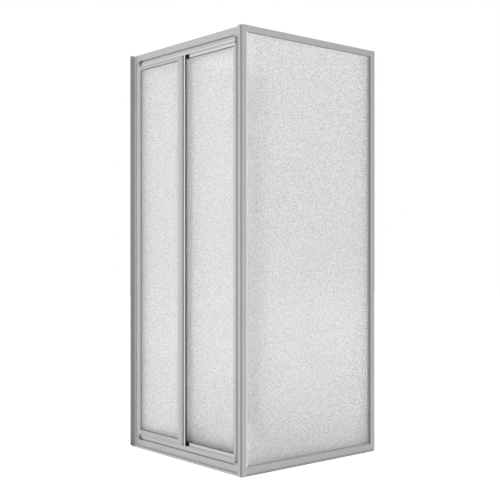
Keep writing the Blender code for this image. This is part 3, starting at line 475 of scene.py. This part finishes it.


# the end channel and the sills get darker greys, which are painted shade, and
# the left stile a paler one, which is painted light
own_finish = {"door_end_channel": end_upright,
              "outer_leaf_left_stile": lifted_upright,
              "right_side_sill_strip": shade_deep,
              "left_side_sill_strip": shade_deep}
used = {}
for name, node in sorted(nodes.items()):
    slot_name = node.data.materials[0].name.split(".")[0]
    if name in own_finish:
        finish = own_finish[name]
    elif slot_name == "aluminium":
        finish = bar_finishes[longest_side(name)]
    else:
        finish = finishes[slot_name]
    for index in range(len(node.data.materials)):
        node.data.materials[index] = finish
    used[finish.name] = used.get(finish.name, 0) + 1
print("finishes:", used)

# %% [markdown]
# ## Bars as surfaces
# Most trims of an enclosure are bars: one outline carried along one axis.
# The surface is a grid with a row of points at each end of the bar, and an
# end face closes it at both ends. Real bars have no knife edges, so a corner
# of the outline can first be replaced by a short curve.

# %% Helpers for bars
CURVE_SHARE = 0.45           # the most of a side that one corner's curve takes


def rounded(outline, radius, steps=3):
    """The outline with each corner P turned into a short curve.

    The curve starts at A and ends at B, a radius before and after P, and its
    points are (1-t)(1-t)A + 2t(1-t)P + ttB for t from 0 to 1.
    """
    corner = np.asarray(outline, float)
    ends = []
    for neighbour in (np.roll(corner, 1, axis=0), np.roll(corner, -1, axis=0)):
        way = neighbour - corner
        length = np.linalg.norm(way, axis=1, keepdims=True)
        start = np.minimum(radius, CURVE_SHARE * length)
        ends.append(corner + way / length * start)
    t = np.linspace(0, 1, steps + 1)[None, :, None]
    before, after = ends[0][:, None], ends[1][:, None]
    curve = (1 - t) ** 2 * before + 2 * t * (1 - t) * corner[:, None]
    return (curve + t ** 2 * after).reshape(-1, 2)


def dressed_piece(name, points, faces, finish, body):
    """A closed piece with its finish, riding on a body."""
    mesh = bpy.data.meshes.new(name)
    mesh.from_pydata(np.asarray(points, float).reshape(-1, 3), [], faces)
    builder = bmesh.new()
    builder.from_mesh(mesh)
    bmesh.ops.recalc_face_normals(builder, faces=builder.faces)
    builder.to_mesh(mesh)
    builder.free()
    mesh.materials.append(finish)
    piece = bpy.data.objects.new(name, mesh)
    scene.collection.objects.link(piece)
    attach(piece, body)
    return piece


def bar(name, axis, outline, start, end, finish, body):
    """Bar: the outline's points stand at the start and end of the axis."""
    outline = np.asarray(outline, float)
    count = len(outline)
    across = [other for other in range(3) if other != axis]
    points = np.zeros((2, count, 3))
    points[:, :, across] = outline
    points[0, :, axis] = start
    points[1, :, axis] = end
    here = np.arange(count)
    there = np.roll(here, -1)
    sides = np.stack([here, there, there + count, here + count], axis=1)
    faces = sides.tolist() + [here.tolist(), (here + count).tolist()]
    return dressed_piece(name, points, faces, finish, body)


def box_outline(low_a, low_b, high_a, high_b):
    """Corners of a rectangle, in order."""
    return [(low_a, low_b), (high_a, low_b), (high_a, high_b),
            (low_a, high_b)]


# %% [markdown]
# ## Seals of the tracks
# Each track mouth is closed by two soft strips, as on any sliding door. A
# thin pale fin hangs behind the lip of the front wall and wipes the outer
# leaf. A white pile strip is slipped onto the wall between the two tracks
# and brushes the outer leaf's back. Together they hide the dark hollow of
# the track, and they are swept along it as bars.

# %% Fins and pile strips
WALL = 0.0016                # metres, wall of the drawn bars
TRACK_WIDTH = 0.0156         # between the front and the middle wall
GAP = 0.0003                 # between pieces that meet
SEAT = GAP / 3               # between a trim and the face that carries it
FIN = 0.0006                 # thickness of a wiper fin
FIN_HOLD = 0.0045            # how far the fin reaches in behind the lip
TOP_FIN_DROP = 0.0115        # how far it hangs out of the top track
BOTTOM_FIN_RISE = 0.0036     # how far it stands out of the bottom track
TIP_START = 0.7              # share of that reach before the bevelled tip
TIP_WIDTH = 0.6              # share of the thickness that the tip keeps
PILE = 0.0023                # thickness of the pile strips
TOP_PILE = 0.0090            # heights of the two pile strips
BOTTOM_PILE = 0.0094
LIP_BEVEL = 0.0208           # length of the bevel at the left end of a lip

top_low, top_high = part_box("door_top_rail")
foot_low, foot_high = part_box("door_bottom_rail")
rail_face = top_low.y
middle_wall = rail_face + WALL + TRACK_WIDTH
track_start = top_low.x + LIP_BEVEL + GAP
track_end = top_high.x
fin_front = rail_face + WALL + SEAT
for name, edge, hold, tip in (
        ("top_wiper_fin", top_low.z, FIN_HOLD, -TOP_FIN_DROP),
        ("bottom_wiper_fin", foot_high.z, -FIN_HOLD, BOTTOM_FIN_RISE)):
    outline = [(fin_front, edge + hold), (fin_front + FIN, edge + hold),
               (fin_front + FIN, edge + TIP_START * tip),
               (fin_front + TIP_WIDTH * FIN, edge + tip),
               (fin_front, edge + tip)]
    bar(name, ACROSS, outline, track_start, track_end, pale_fin, "frame")
for name, low, high in (
        ("top_pile_strip", top_low.z + SEAT, top_low.z + TOP_PILE),
        ("bottom_pile_strip", foot_high.z - BOTTOM_PILE,
         foot_high.z - SEAT)):
    outline = box_outline(middle_wall - PILE, low, middle_wall - SEAT,
                          high)
    bar(name, ACROSS, rounded(outline, PILE / 3), track_start, track_end, pile,
        "frame")
print("track length:", round(track_end - track_start, 4))

# %% [markdown]
# ## Beads in the grooves
# A groove runs along the face of each track rail, and reads as a dark line.
# It holds a dark grey bead, painted shade that deepens that line. At the
# left end a black wedge covers the bevelled corner of each lip.

# %% Groove beads and lip wedges
TOP_FASCIA = 0.0301          # from a rail's outer edge to its groove
BOTTOM_FASCIA = 0.029
GROOVE_HEIGHT = 0.0066
GROOVE_DEPTH = 0.0027
BEAD_SETBACK = 0.0012        # how far the bead lies below the face
WEDGE_WIDTH = 0.030          # sides and thickness of a lip wedge
WEDGE_HEIGHT = 0.024
WEDGE_DEPTH = 0.0011

groove_floor = rail_face + GROOVE_DEPTH
# each groove's lower edge, and 1 where the lip's bevel lies below it, else -1
grooves = {"top": (top_high.z - TOP_FASCIA - GROOVE_HEIGHT, 1),
           "bottom": (foot_low.z + BOTTOM_FASCIA, -1)}
for name, (low, side) in grooves.items():
    outline = box_outline(rail_face + BEAD_SETBACK, low + GAP,
                          groove_floor - SEAT, low + GROOVE_HEIGHT - GAP)
    bar(name + "_groove_bead", ACROSS, rounded(outline, GAP), track_start,
        track_end, groove_shade, "frame")
    outer = low + GROOVE_HEIGHT if side > 0 else low
    left = top_low.x + GAP
    wedge = [(left, outer), (left + WEDGE_WIDTH, outer),
             (left, outer - side * WEDGE_HEIGHT)]
    back = rail_face - SEAT
    bar(name + "_lip_wedge", DEEP, wedge, back - WEDGE_DEPTH, back,
        black_plastic, "frame")
print("grooves from:", [round(low, 4) for low, side in grooves.values()])

# %% [markdown]
# ## The sheets
# A pane is a flat sheet, so its surface is two grids of points joined along
# their rims. The grid lines lie close together near the frame, because each
# point carries a painted rim shade that falls off there: one minus the
# strength times e to the minus (distance over reach) to the power of 1.3,
# multiplied over the edges. A positive strength paints the shadow of the
# frame on the sheet. A strength below nothing paints light that makes the
# sheet paler: the inner one beside the overlap seal, the side ones beside
# their post, and the door's in their lowest third. The painted shade is an
# attribute of the mesh, and the acrylic's colour is multiplied by it.

# %% Sheets with a rim shade
GASKET_REACH = 0.0097        # how far the gasket goes into the frame
RIM_POWER = 1.3
RIM_LINES = 22               # grid lines within the span beside an edge
RIM_SPAN = 0.160             # metres from an edge to the last of them
SPAN_SHARE = 0.48            # the most of a sheet that one span takes
CROWDING = 1.5               # above 1, the lines crowd at the edge
MIDDLE_LINES = 8             # grid lines between the spans

# the axis across each sheet, and the body that it rides on
glazed = {"outer_leaf": (DEEP, "outer_leaf"),
          "inner_leaf": (DEEP, "inner_leaf"),
          "right_side": (ACROSS, "frame"),
          "left_side": (ACROSS, "frame")}
LOW, HIGH, FOOT, TOP = range(4)
# painted rim shade of each sheet: a positive strength paints the frame's
# shadow, a negative one paints light that makes the sheet paler
side_rims = ((LOW, -0.22, 0.028), (HIGH, 0.42, 0.038), (FOOT, 0.29, 0.024),
             (FOOT, 0.19, 0.42))
rims = {                     # edge, strength, and reach in metres
    "outer_leaf": ((LOW, 0.46, 0.040), (HIGH, 0.10, 0.022),
                   (FOOT, 0.52, 0.022), (FOOT, -0.09, 0.34),
                   (TOP, 0.10, 0.028)),
    "inner_leaf": ((LOW, 0.18, 0.080), (LOW, -0.90, 0.014),
                   (FOOT, 0.63, 0.034), (FOOT, 0.14, 0.11),
                   (FOOT, -0.07, 0.34), (TOP, 0.25, 0.024)),
    "right_side": side_rims,
    "left_side": side_rims,
}


def grid_lines(low, high):
    """Grid lines from low to high, close together near both ends."""
    span = min(RIM_SPAN, SPAN_SHARE * (high - low))
    near = span * np.linspace(0, 1, RIM_LINES) ** CROWDING
    middle = np.linspace(low + span, high - span, MIDDLE_LINES)
    return np.concatenate([low + near, middle[1:-1], (high - near)[::-1]])


def sight_box(prefix, axis):
    """The two other axes, and the corners of the sheet that shows."""
    ring_low, ring_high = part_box(prefix + "_gasket")
    across = [other for other in range(3) if other != axis]
    low = [ring_low[a] + GASKET_REACH for a in across]
    high = [ring_high[a] - GASKET_REACH for a in across]
    return across, low, high


def pane_sheet(prefix, axis, body, finish):
    """Sheet across an axis that stands for the pane's solid."""
    box_low, box_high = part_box(prefix + "_pane")
    (first, second), low, high = sight_box(prefix, axis)
    grid_a, grid_b = np.meshgrid(
        grid_lines(box_low[first], box_high[first]),
        grid_lines(box_low[second], box_high[second]), indexing="ij")
    shade = np.ones_like(grid_a)
    distances = (grid_a - low[0], high[0] - grid_a,
                 grid_b - low[1], high[1] - grid_b)
    for edge, strength, reach in rims[prefix]:
        falloff = (np.maximum(distances[edge], 0) / reach) ** RIM_POWER
        shade *= 1 - strength * np.exp(-falloff)
    points = np.zeros((2, *grid_a.shape, 3))
    points[..., first] = grid_a
    points[..., second] = grid_b
    points[0, ..., axis] = box_low[axis]
    points[1, ..., axis] = box_high[axis]
    index = np.arange(grid_a.size).reshape(grid_a.shape)
    quads = np.stack([index[:-1, :-1], index[1:, :-1], index[1:, 1:],
                      index[:-1, 1:]], axis=-1).reshape(-1, 4)
    here = np.concatenate([index[:-1, 0], index[-1, :-1], index[:0:-1, -1],
                           index[0, :0:-1]])
    after = np.roll(here, -1)
    walls = np.stack([here, after, after + index.size, here + index.size],
                     axis=1)
    faces = quads.tolist() + (quads + index.size).tolist() + walls.tolist()
    sheet = dressed_piece(prefix + "_stippled_sheet", points, faces, finish,
                          body)
    values = sheet.data.attributes.new("painted_rim_shade", "FLOAT", "POINT")
    values.data.foreach_set("value", np.tile(shade.ravel(), 2))
    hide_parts(prefix + "_pane")
    return sheet


for prefix, (axis, body) in glazed.items():
    finish = door_acrylic if axis == DEEP else side_acrylic
    sheet = pane_sheet(prefix, axis, body, finish)
print("points in a sheet:", len(sheet.data.vertices))

# %% [markdown]
# ## Glazing beads
# Each pane is held by beads pressed in along the edges of its frame, inside
# and outside. On the leaves they are dark rubber and draw the thin line
# between frame and pane. The side panels have grey ones at the foot and the
# top, pale and larger ones at the post, whose pale grey is a painted
# highlight along the post's edge, and dark ones at the wall. The section is
# a quarter round: width times sine and height times cosine of an angle from
# 0 to a right angle, closed by its foot on the pane.

# %% Glazing beads
BEAD_WIDTH = 0.0026          # on the pane
BEAD_HEIGHT = 0.0014         # above the pane
PALE_BEAD_WIDTH = 0.0060
PALE_BEAD_HEIGHT = 0.0029
BEAD_STEPS = 5               # points on the quarter round

# finishes at the low, high, foot and top edge; none under the overlap seal
door_beads = (gasket_rubber, gasket_rubber, gasket_rubber, gasket_rubber)
inner_beads = (None, gasket_rubber, gasket_rubber, gasket_rubber)
# the pale bead at the post is a painted highlight along the post's edge
side_beads = (trim_pale, gasket_rubber, bead_grey, bead_grey)
bead_finishes = {"outer_leaf": door_beads, "inner_leaf": inner_beads,
                 "right_side": side_beads, "left_side": side_beads}


def edge_bead(name, run, start, end, edge, inward, face, outward, finish,
              body):
    """Quarter-round bead along an axis, from start to end.

    edge and face are pairs of an axis and a place: the sight edge of the
    frame and the surface of the pane. inward and outward are 1 or -1.
    """
    width, height = BEAD_WIDTH, BEAD_HEIGHT
    if finish is trim_pale:
        width, height = PALE_BEAD_WIDTH, PALE_BEAD_HEIGHT
    angle = np.linspace(0, math.pi / 2, BEAD_STEPS)
    inset = np.append(GAP + width * np.sin(angle), GAP)
    rise = np.append(GAP / 2 + height * np.cos(angle), GAP / 2)
    section = {edge[0]: edge[1] + inward * inset,
               face[0]: face[1] + outward * rise}
    outline = np.stack([section[a] for a in sorted(section)], axis=1)
    return bar(name, run, outline, start, end, finish, body)


bead_count = 0
for prefix, (axis, body) in glazed.items():
    (first, second), low, high = sight_box(prefix, axis)
    sheet_low, sheet_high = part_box(prefix + "_pane")
    margin = PALE_BEAD_WIDTH + 2 * GAP
    across_ends = (low[0] + margin, high[0] - margin)
    upright_ends = (low[1] + GAP, high[1] - GAP)
    edges = (("low", second, upright_ends, (first, low[0]), 1),
             ("high", second, upright_ends, (first, high[0]), -1),
             ("foot", first, across_ends, (second, low[1]), 1),
             ("top", first, across_ends, (second, high[1]), -1))
    for word, place, outward in (("near", sheet_low[axis], -1),
                                 ("far", sheet_high[axis], 1)):
        for (part, run, ends, edge, inward), finish in zip(
                edges, bead_finishes[prefix]):
            if finish is None:
                continue
            edge_bead("_".join((prefix, word, part, "bead")), run, *ends,
                      edge, inward, (axis, place), outward, finish, body)
            bead_count += 1
print("beads:", bead_count)

# %% [markdown]
# ## The finger pull
# The outer leaf is opened by its right stile. The drawn bar is scooped so
# that fingers reach behind a narrow lip. In section the scoop is a smooth
# half wave from the flat face down to a groove: the depth times one minus
# the cosine of a half turn, halved. A grey pad on the slope and a dark
# rubber strip in the groove are painted shade, the lip's paler cap is a
# painted highlight, and a dark rubber strip in the edge behind it is painted
# shadow of the gap. The stile's solid has straight slopes there, so this
# piece stands for it.

# %% Scooped stile
PULL_FLAT = 0.0194           # widths across the stile, from its left edge
PULL_SLOPE = 0.0204
PULL_LIP = 0.0052            # from its right edge
PULL_DEPTH = 0.0055          # of the groove, below the leaf's face
PULL_LIP_PROUD = 0.0014      # the lip stands in front of that face
PULL_LIP_DEPTH = 0.003
PULL_WEB = 0.0015            # wall between the groove and the edge rubber
LEAF_DEPTH = 0.010
SLOT_DEPTH = 0.010           # slot that takes the pane
SLOT_WIDTH = 0.0062
SCOOP_STEPS = 14
GRIP_EDGE_BACK = 0.0035      # from the edge rubber to the leaf's back

grip_low, grip_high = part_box("outer_leaf_grip_stile")
leaf_face = grip_low.y + PULL_LIP_PROUD
scoop_start = grip_low.x + PULL_FLAT
floor_start = scoop_start + PULL_SLOPE
lip_start = grip_high.x - PULL_LIP


def slope_at(t):
    """Places across and into the stile, for t from 0 to 1 on the slope."""
    across = scoop_start + PULL_SLOPE * t
    below = leaf_face + PULL_DEPTH * (1 - np.cos(math.pi * t)) / 2
    return across, below


scoop = np.stack(slope_at(np.linspace(0, 1, SCOOP_STEPS)), axis=1)
back = leaf_face + LEAF_DEPTH
slot_low = leaf_face + (LEAF_DEPTH - SLOT_WIDTH) / 2
slot_high = slot_low + SLOT_WIDTH
slot_end = grip_low.x + SLOT_DEPTH
lip_back = grip_low.y + PULL_LIP_DEPTH
web_top = lip_back + SEAT
web_end = lip_start + PULL_WEB
outline = np.concatenate([
    [(grip_low.x, leaf_face)], scoop,
    [(lip_start, leaf_face + PULL_DEPTH), (lip_start, web_top),
     (web_end, web_top), (web_end, back - GRIP_EDGE_BACK), (floor_start, back),
     (grip_low.x, back), (grip_low.x, slot_high), (slot_end, slot_high),
     (slot_end, slot_low), (grip_low.x, slot_low)]])
grip = bar("outer_leaf_scooped_stile", UPRIGHT, outline, grip_low.z,
           grip_high.z, bar_finishes[UPRIGHT], "outer_leaf")
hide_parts("outer_leaf_grip_stile")
print("scoop depth:", PULL_DEPTH)

# %% Lip cap, shade pads and edge rubber
SOFT_CORNER = 0.0006         # radius of the lip's and the rubber's corners
GRIP_PAD = 0.0007            # thickness of the pads
PAD_STARTS = (0.02, 0.62, 1.0)     # shares of the slope where pads begin or end
PAD_STEPS = 6                # points along a pad

# the lip's pale cap is a painted highlight
lip = box_outline(lip_start, grip_low.y, grip_high.x, lip_back)
bar("outer_leaf_grip_lip", UPRIGHT, rounded(lip, SOFT_CORNER), grip_low.z,
    grip_high.z, pale_cover, "outer_leaf")
# grey pad on the slope and dark strip in the groove: painted shade
for name, first_t, last_t, finish in (
        ("outer_leaf_slope_shade_pad", PAD_STARTS[0], PAD_STARTS[1], bead_grey),
        ("outer_leaf_groove_shade_strip", PAD_STARTS[1], PAD_STARTS[2],
         gasket_rubber)):
    across, below = slope_at(np.linspace(first_t, last_t, PAD_STEPS))
    if last_t == PAD_STARTS[-1]:
        across = np.append(across, lip_start - GAP)
        below = np.append(below, below[-1])
    under = np.stack([across, below - SEAT], axis=1)
    over = np.stack([across, below - GRIP_PAD], axis=1)
    bar(name, UPRIGHT, np.concatenate([over, under[::-1]]), grip_low.z + GAP,
        grip_high.z - GAP, finish, "outer_leaf")
# dark rubber strip behind the lip: painted shadow of the gap
edge = box_outline(web_end + GAP, lip_back + GAP,
                   grip_high.x - GAP, back - GRIP_EDGE_BACK)
bar("outer_leaf_edge_shadow_rubber", UPRIGHT, rounded(edge, SOFT_CORNER),
    grip_low.z + GAP, grip_high.z - GAP, finishes["rubber"], "outer_leaf")
print("grip pads:", len(PAD_STARTS) - 1)

# %% [markdown]
# ## Covers on the inner leaf
# The inner leaf runs behind the outer one, so its rails would lie deep in
# the shade of the tracks. Cover strips bring their faces forward, flush
# with the pile strips, and their pale and grey colours are painted light
# that lifts the shade left there. The overlap seal on the outer leaf has to
# pass them, so it ends at the covers. Each strip is a bar with softened
# corners.

# %% Rail covers and overlap seal
COVER_FACE = 0.0064          # how far a cover stands in front of its rail
COVER_SETBACK = 0.0140       # from the rail's left end to the cover's
COVER_CORNER = 0.0005        # radius of its corners
SIGHT_LAP = 0.0012           # how far the upper one laps over the pane
SEAL_END_GAP = 0.0008        # from the seal's ends to the covers
SEAL_FIN = 0.0014            # thickness of the seal's fin
SEAL_BASE = 0.0012           # thickness of its base

inner_top_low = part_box("inner_leaf_top_rail")[0]
closing_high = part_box("inner_leaf_closing_stile")[1]
top_cover_foot = inner_top_low.z - SIGHT_LAP
foot_cover_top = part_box("inner_leaf_bottom_rail")[1].z
cover_start = inner_top_low.x + COVER_SETBACK
# the covers' pale and grey colours are painted light against the tracks' shade
for name, low, high, finish in (
        ("inner_leaf_top_cover", top_cover_foot, top_low.z - GAP,
         pale_cover),
        ("inner_leaf_foot_cover", foot_high.z + GAP, foot_cover_top,
         grey_cover)):
    outline = box_outline(inner_top_low.y - COVER_FACE, low,
                          inner_top_low.y - SEAT, high)
    bar(name, ACROSS, rounded(outline, COVER_CORNER), cover_start,
        closing_high.x, finish, "inner_leaf")

seal_low, seal_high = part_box("overlap_seal")
seal_middle = (seal_low.x + seal_high.x) / 2
base_back = seal_low.y + SEAL_BASE
outline = [(seal_low.x, seal_low.y), (seal_high.x, seal_low.y),
           (seal_high.x, base_back),
           (seal_middle + SEAL_FIN / 2, base_back),
           (seal_middle + SEAL_FIN / 4, seal_high.y),
           (seal_middle - SEAL_FIN / 4, seal_high.y),
           (seal_middle - SEAL_FIN / 2, base_back),
           (seal_low.x, base_back)]
seal = bar("overlap_seal_fin", UPRIGHT, outline, foot_cover_top + SEAL_END_GAP,
           top_cover_foot - SEAL_END_GAP, finishes["seal_plastic"],
           "outer_leaf")
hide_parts("overlap_seal")
print("covers from:", round(cover_start, 4), "to", round(closing_high.x, 4))

# %% [markdown]
# ## Trims of the uprights
# Thin bars finish the uprights. A pale nose lies on the end channel's leg,
# its paler grey painted light against the channel's shade, and a bumper on
# the outer leaf's left stile meets the channel. A cover stands in front of
# the closing jamb, a tone darker than the rails, as painted shade of the
# deep gap there. A thin dark strip beside it is painted shadow along the
# right post's edge, and a dark strip in the step of each corner post's arris
# is painted shade.

# %% Bumper, jamb cover and post shadow strip
BUMPER_WIDTH = 0.0030
BUMPER_CORNER = 0.001
JAMB_COVER_WIDTH = 0.0228
JAMB_COVER_DEPTH = 0.0011
JAMB_COVER_LEG = 0.0014      # thickness of its leg back to the jamb
POST_SHADOW_WIDTH = 0.0030
POST_SHADOW_DEPTH = 0.0006

stile_low, stile_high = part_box("outer_leaf_left_stile")
outline = box_outline(stile_low.x - BUMPER_WIDTH - SEAT,
                      stile_low.y + GAP, stile_low.x - SEAT,
                      stile_high.y - GAP)
bar("outer_leaf_bumper", UPRIGHT, rounded(outline, BUMPER_CORNER), stile_low.z,
    stile_high.z, trim_pale, "outer_leaf")

post_low, post_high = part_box("right_corner_post")
jamb_low, jamb_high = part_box("closing_jamb")
# the jamb cover's dark grey is painted shade of the deep gap at the jamb
cover_left = post_low.x - GAP - JAMB_COVER_WIDTH
cover_front = rail_face - SEAT - JAMB_COVER_DEPTH
cover_back = cover_front + JAMB_COVER_DEPTH
outline = box_outline(cover_left, cover_front, post_low.x - GAP, cover_back)
bar("closing_jamb_cover", UPRIGHT, rounded(outline, GAP), jamb_low.z + GAP,
    jamb_high.z - GAP, shade_upright, "frame")
outline = box_outline(cover_left, cover_back, cover_left + JAMB_COVER_LEG,
                      jamb_low.y - GAP)
bar("closing_jamb_cover_leg", UPRIGHT, outline, jamb_low.z + GAP,
    jamb_high.z - GAP, shade_upright, "frame")

# thin dark strip: painted shadow along the right post's edge
outline = box_outline(post_low.x, post_low.y - POST_SHADOW_DEPTH - SEAT,
                      post_low.x + POST_SHADOW_WIDTH, post_low.y - SEAT)
bar("right_post_shadow_strip", UPRIGHT, rounded(outline, GAP / 2), jamb_low.z + GAP,
    jamb_high.z - GAP, shade_upright, "frame")
print("jamb cover from:", round(cover_left, 4))

# %% Strips on the posts and the end channel
STEP_WIDTH = 0.012           # step in the arris of a corner post
STEP_DEPTH = 0.0025
ARRIS_DEPTH = 0.0016         # thickness of the strip that lies in the step
ARRIS_CORNER = 0.0006
NOSE_WIDTH = 0.0086
NOSE_DEPTH = 0.0011

# each corner post's arris strip is dark grey, painted shade in the step
for side, post, outer, inward in (
        ("right", "right_corner_post", post_high.x, -1),
        ("left", "left_corner_post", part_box("left_corner_post")[0].x, 1)):
    step_low, step_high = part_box(post)
    face = step_low.y + STEP_DEPTH
    ends = sorted((outer + inward * GAP,
                   outer + inward * (STEP_WIDTH - GAP)))
    outline = box_outline(ends[0], face - ARRIS_DEPTH, ends[1],
                          face - SEAT)
    bar(side + "_arris_shade_strip", UPRIGHT, rounded(outline, ARRIS_CORNER),
        step_low.z + GAP, step_high.z - GAP, shade_upright, "frame")
channel_low, channel_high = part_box("door_end_channel")
nose_back = rail_face - GAP
# the nose's paler grey is painted light against the channel's shade
outline = box_outline(channel_high.x - NOSE_WIDTH, nose_back - NOSE_DEPTH,
                      channel_high.x - GAP, nose_back)
bar("end_channel_nose", UPRIGHT, rounded(outline, GAP), channel_low.z + GAP,
    channel_high.z - GAP, lifted_upright, "frame")
print("channel to:", round(channel_high.x, 4))
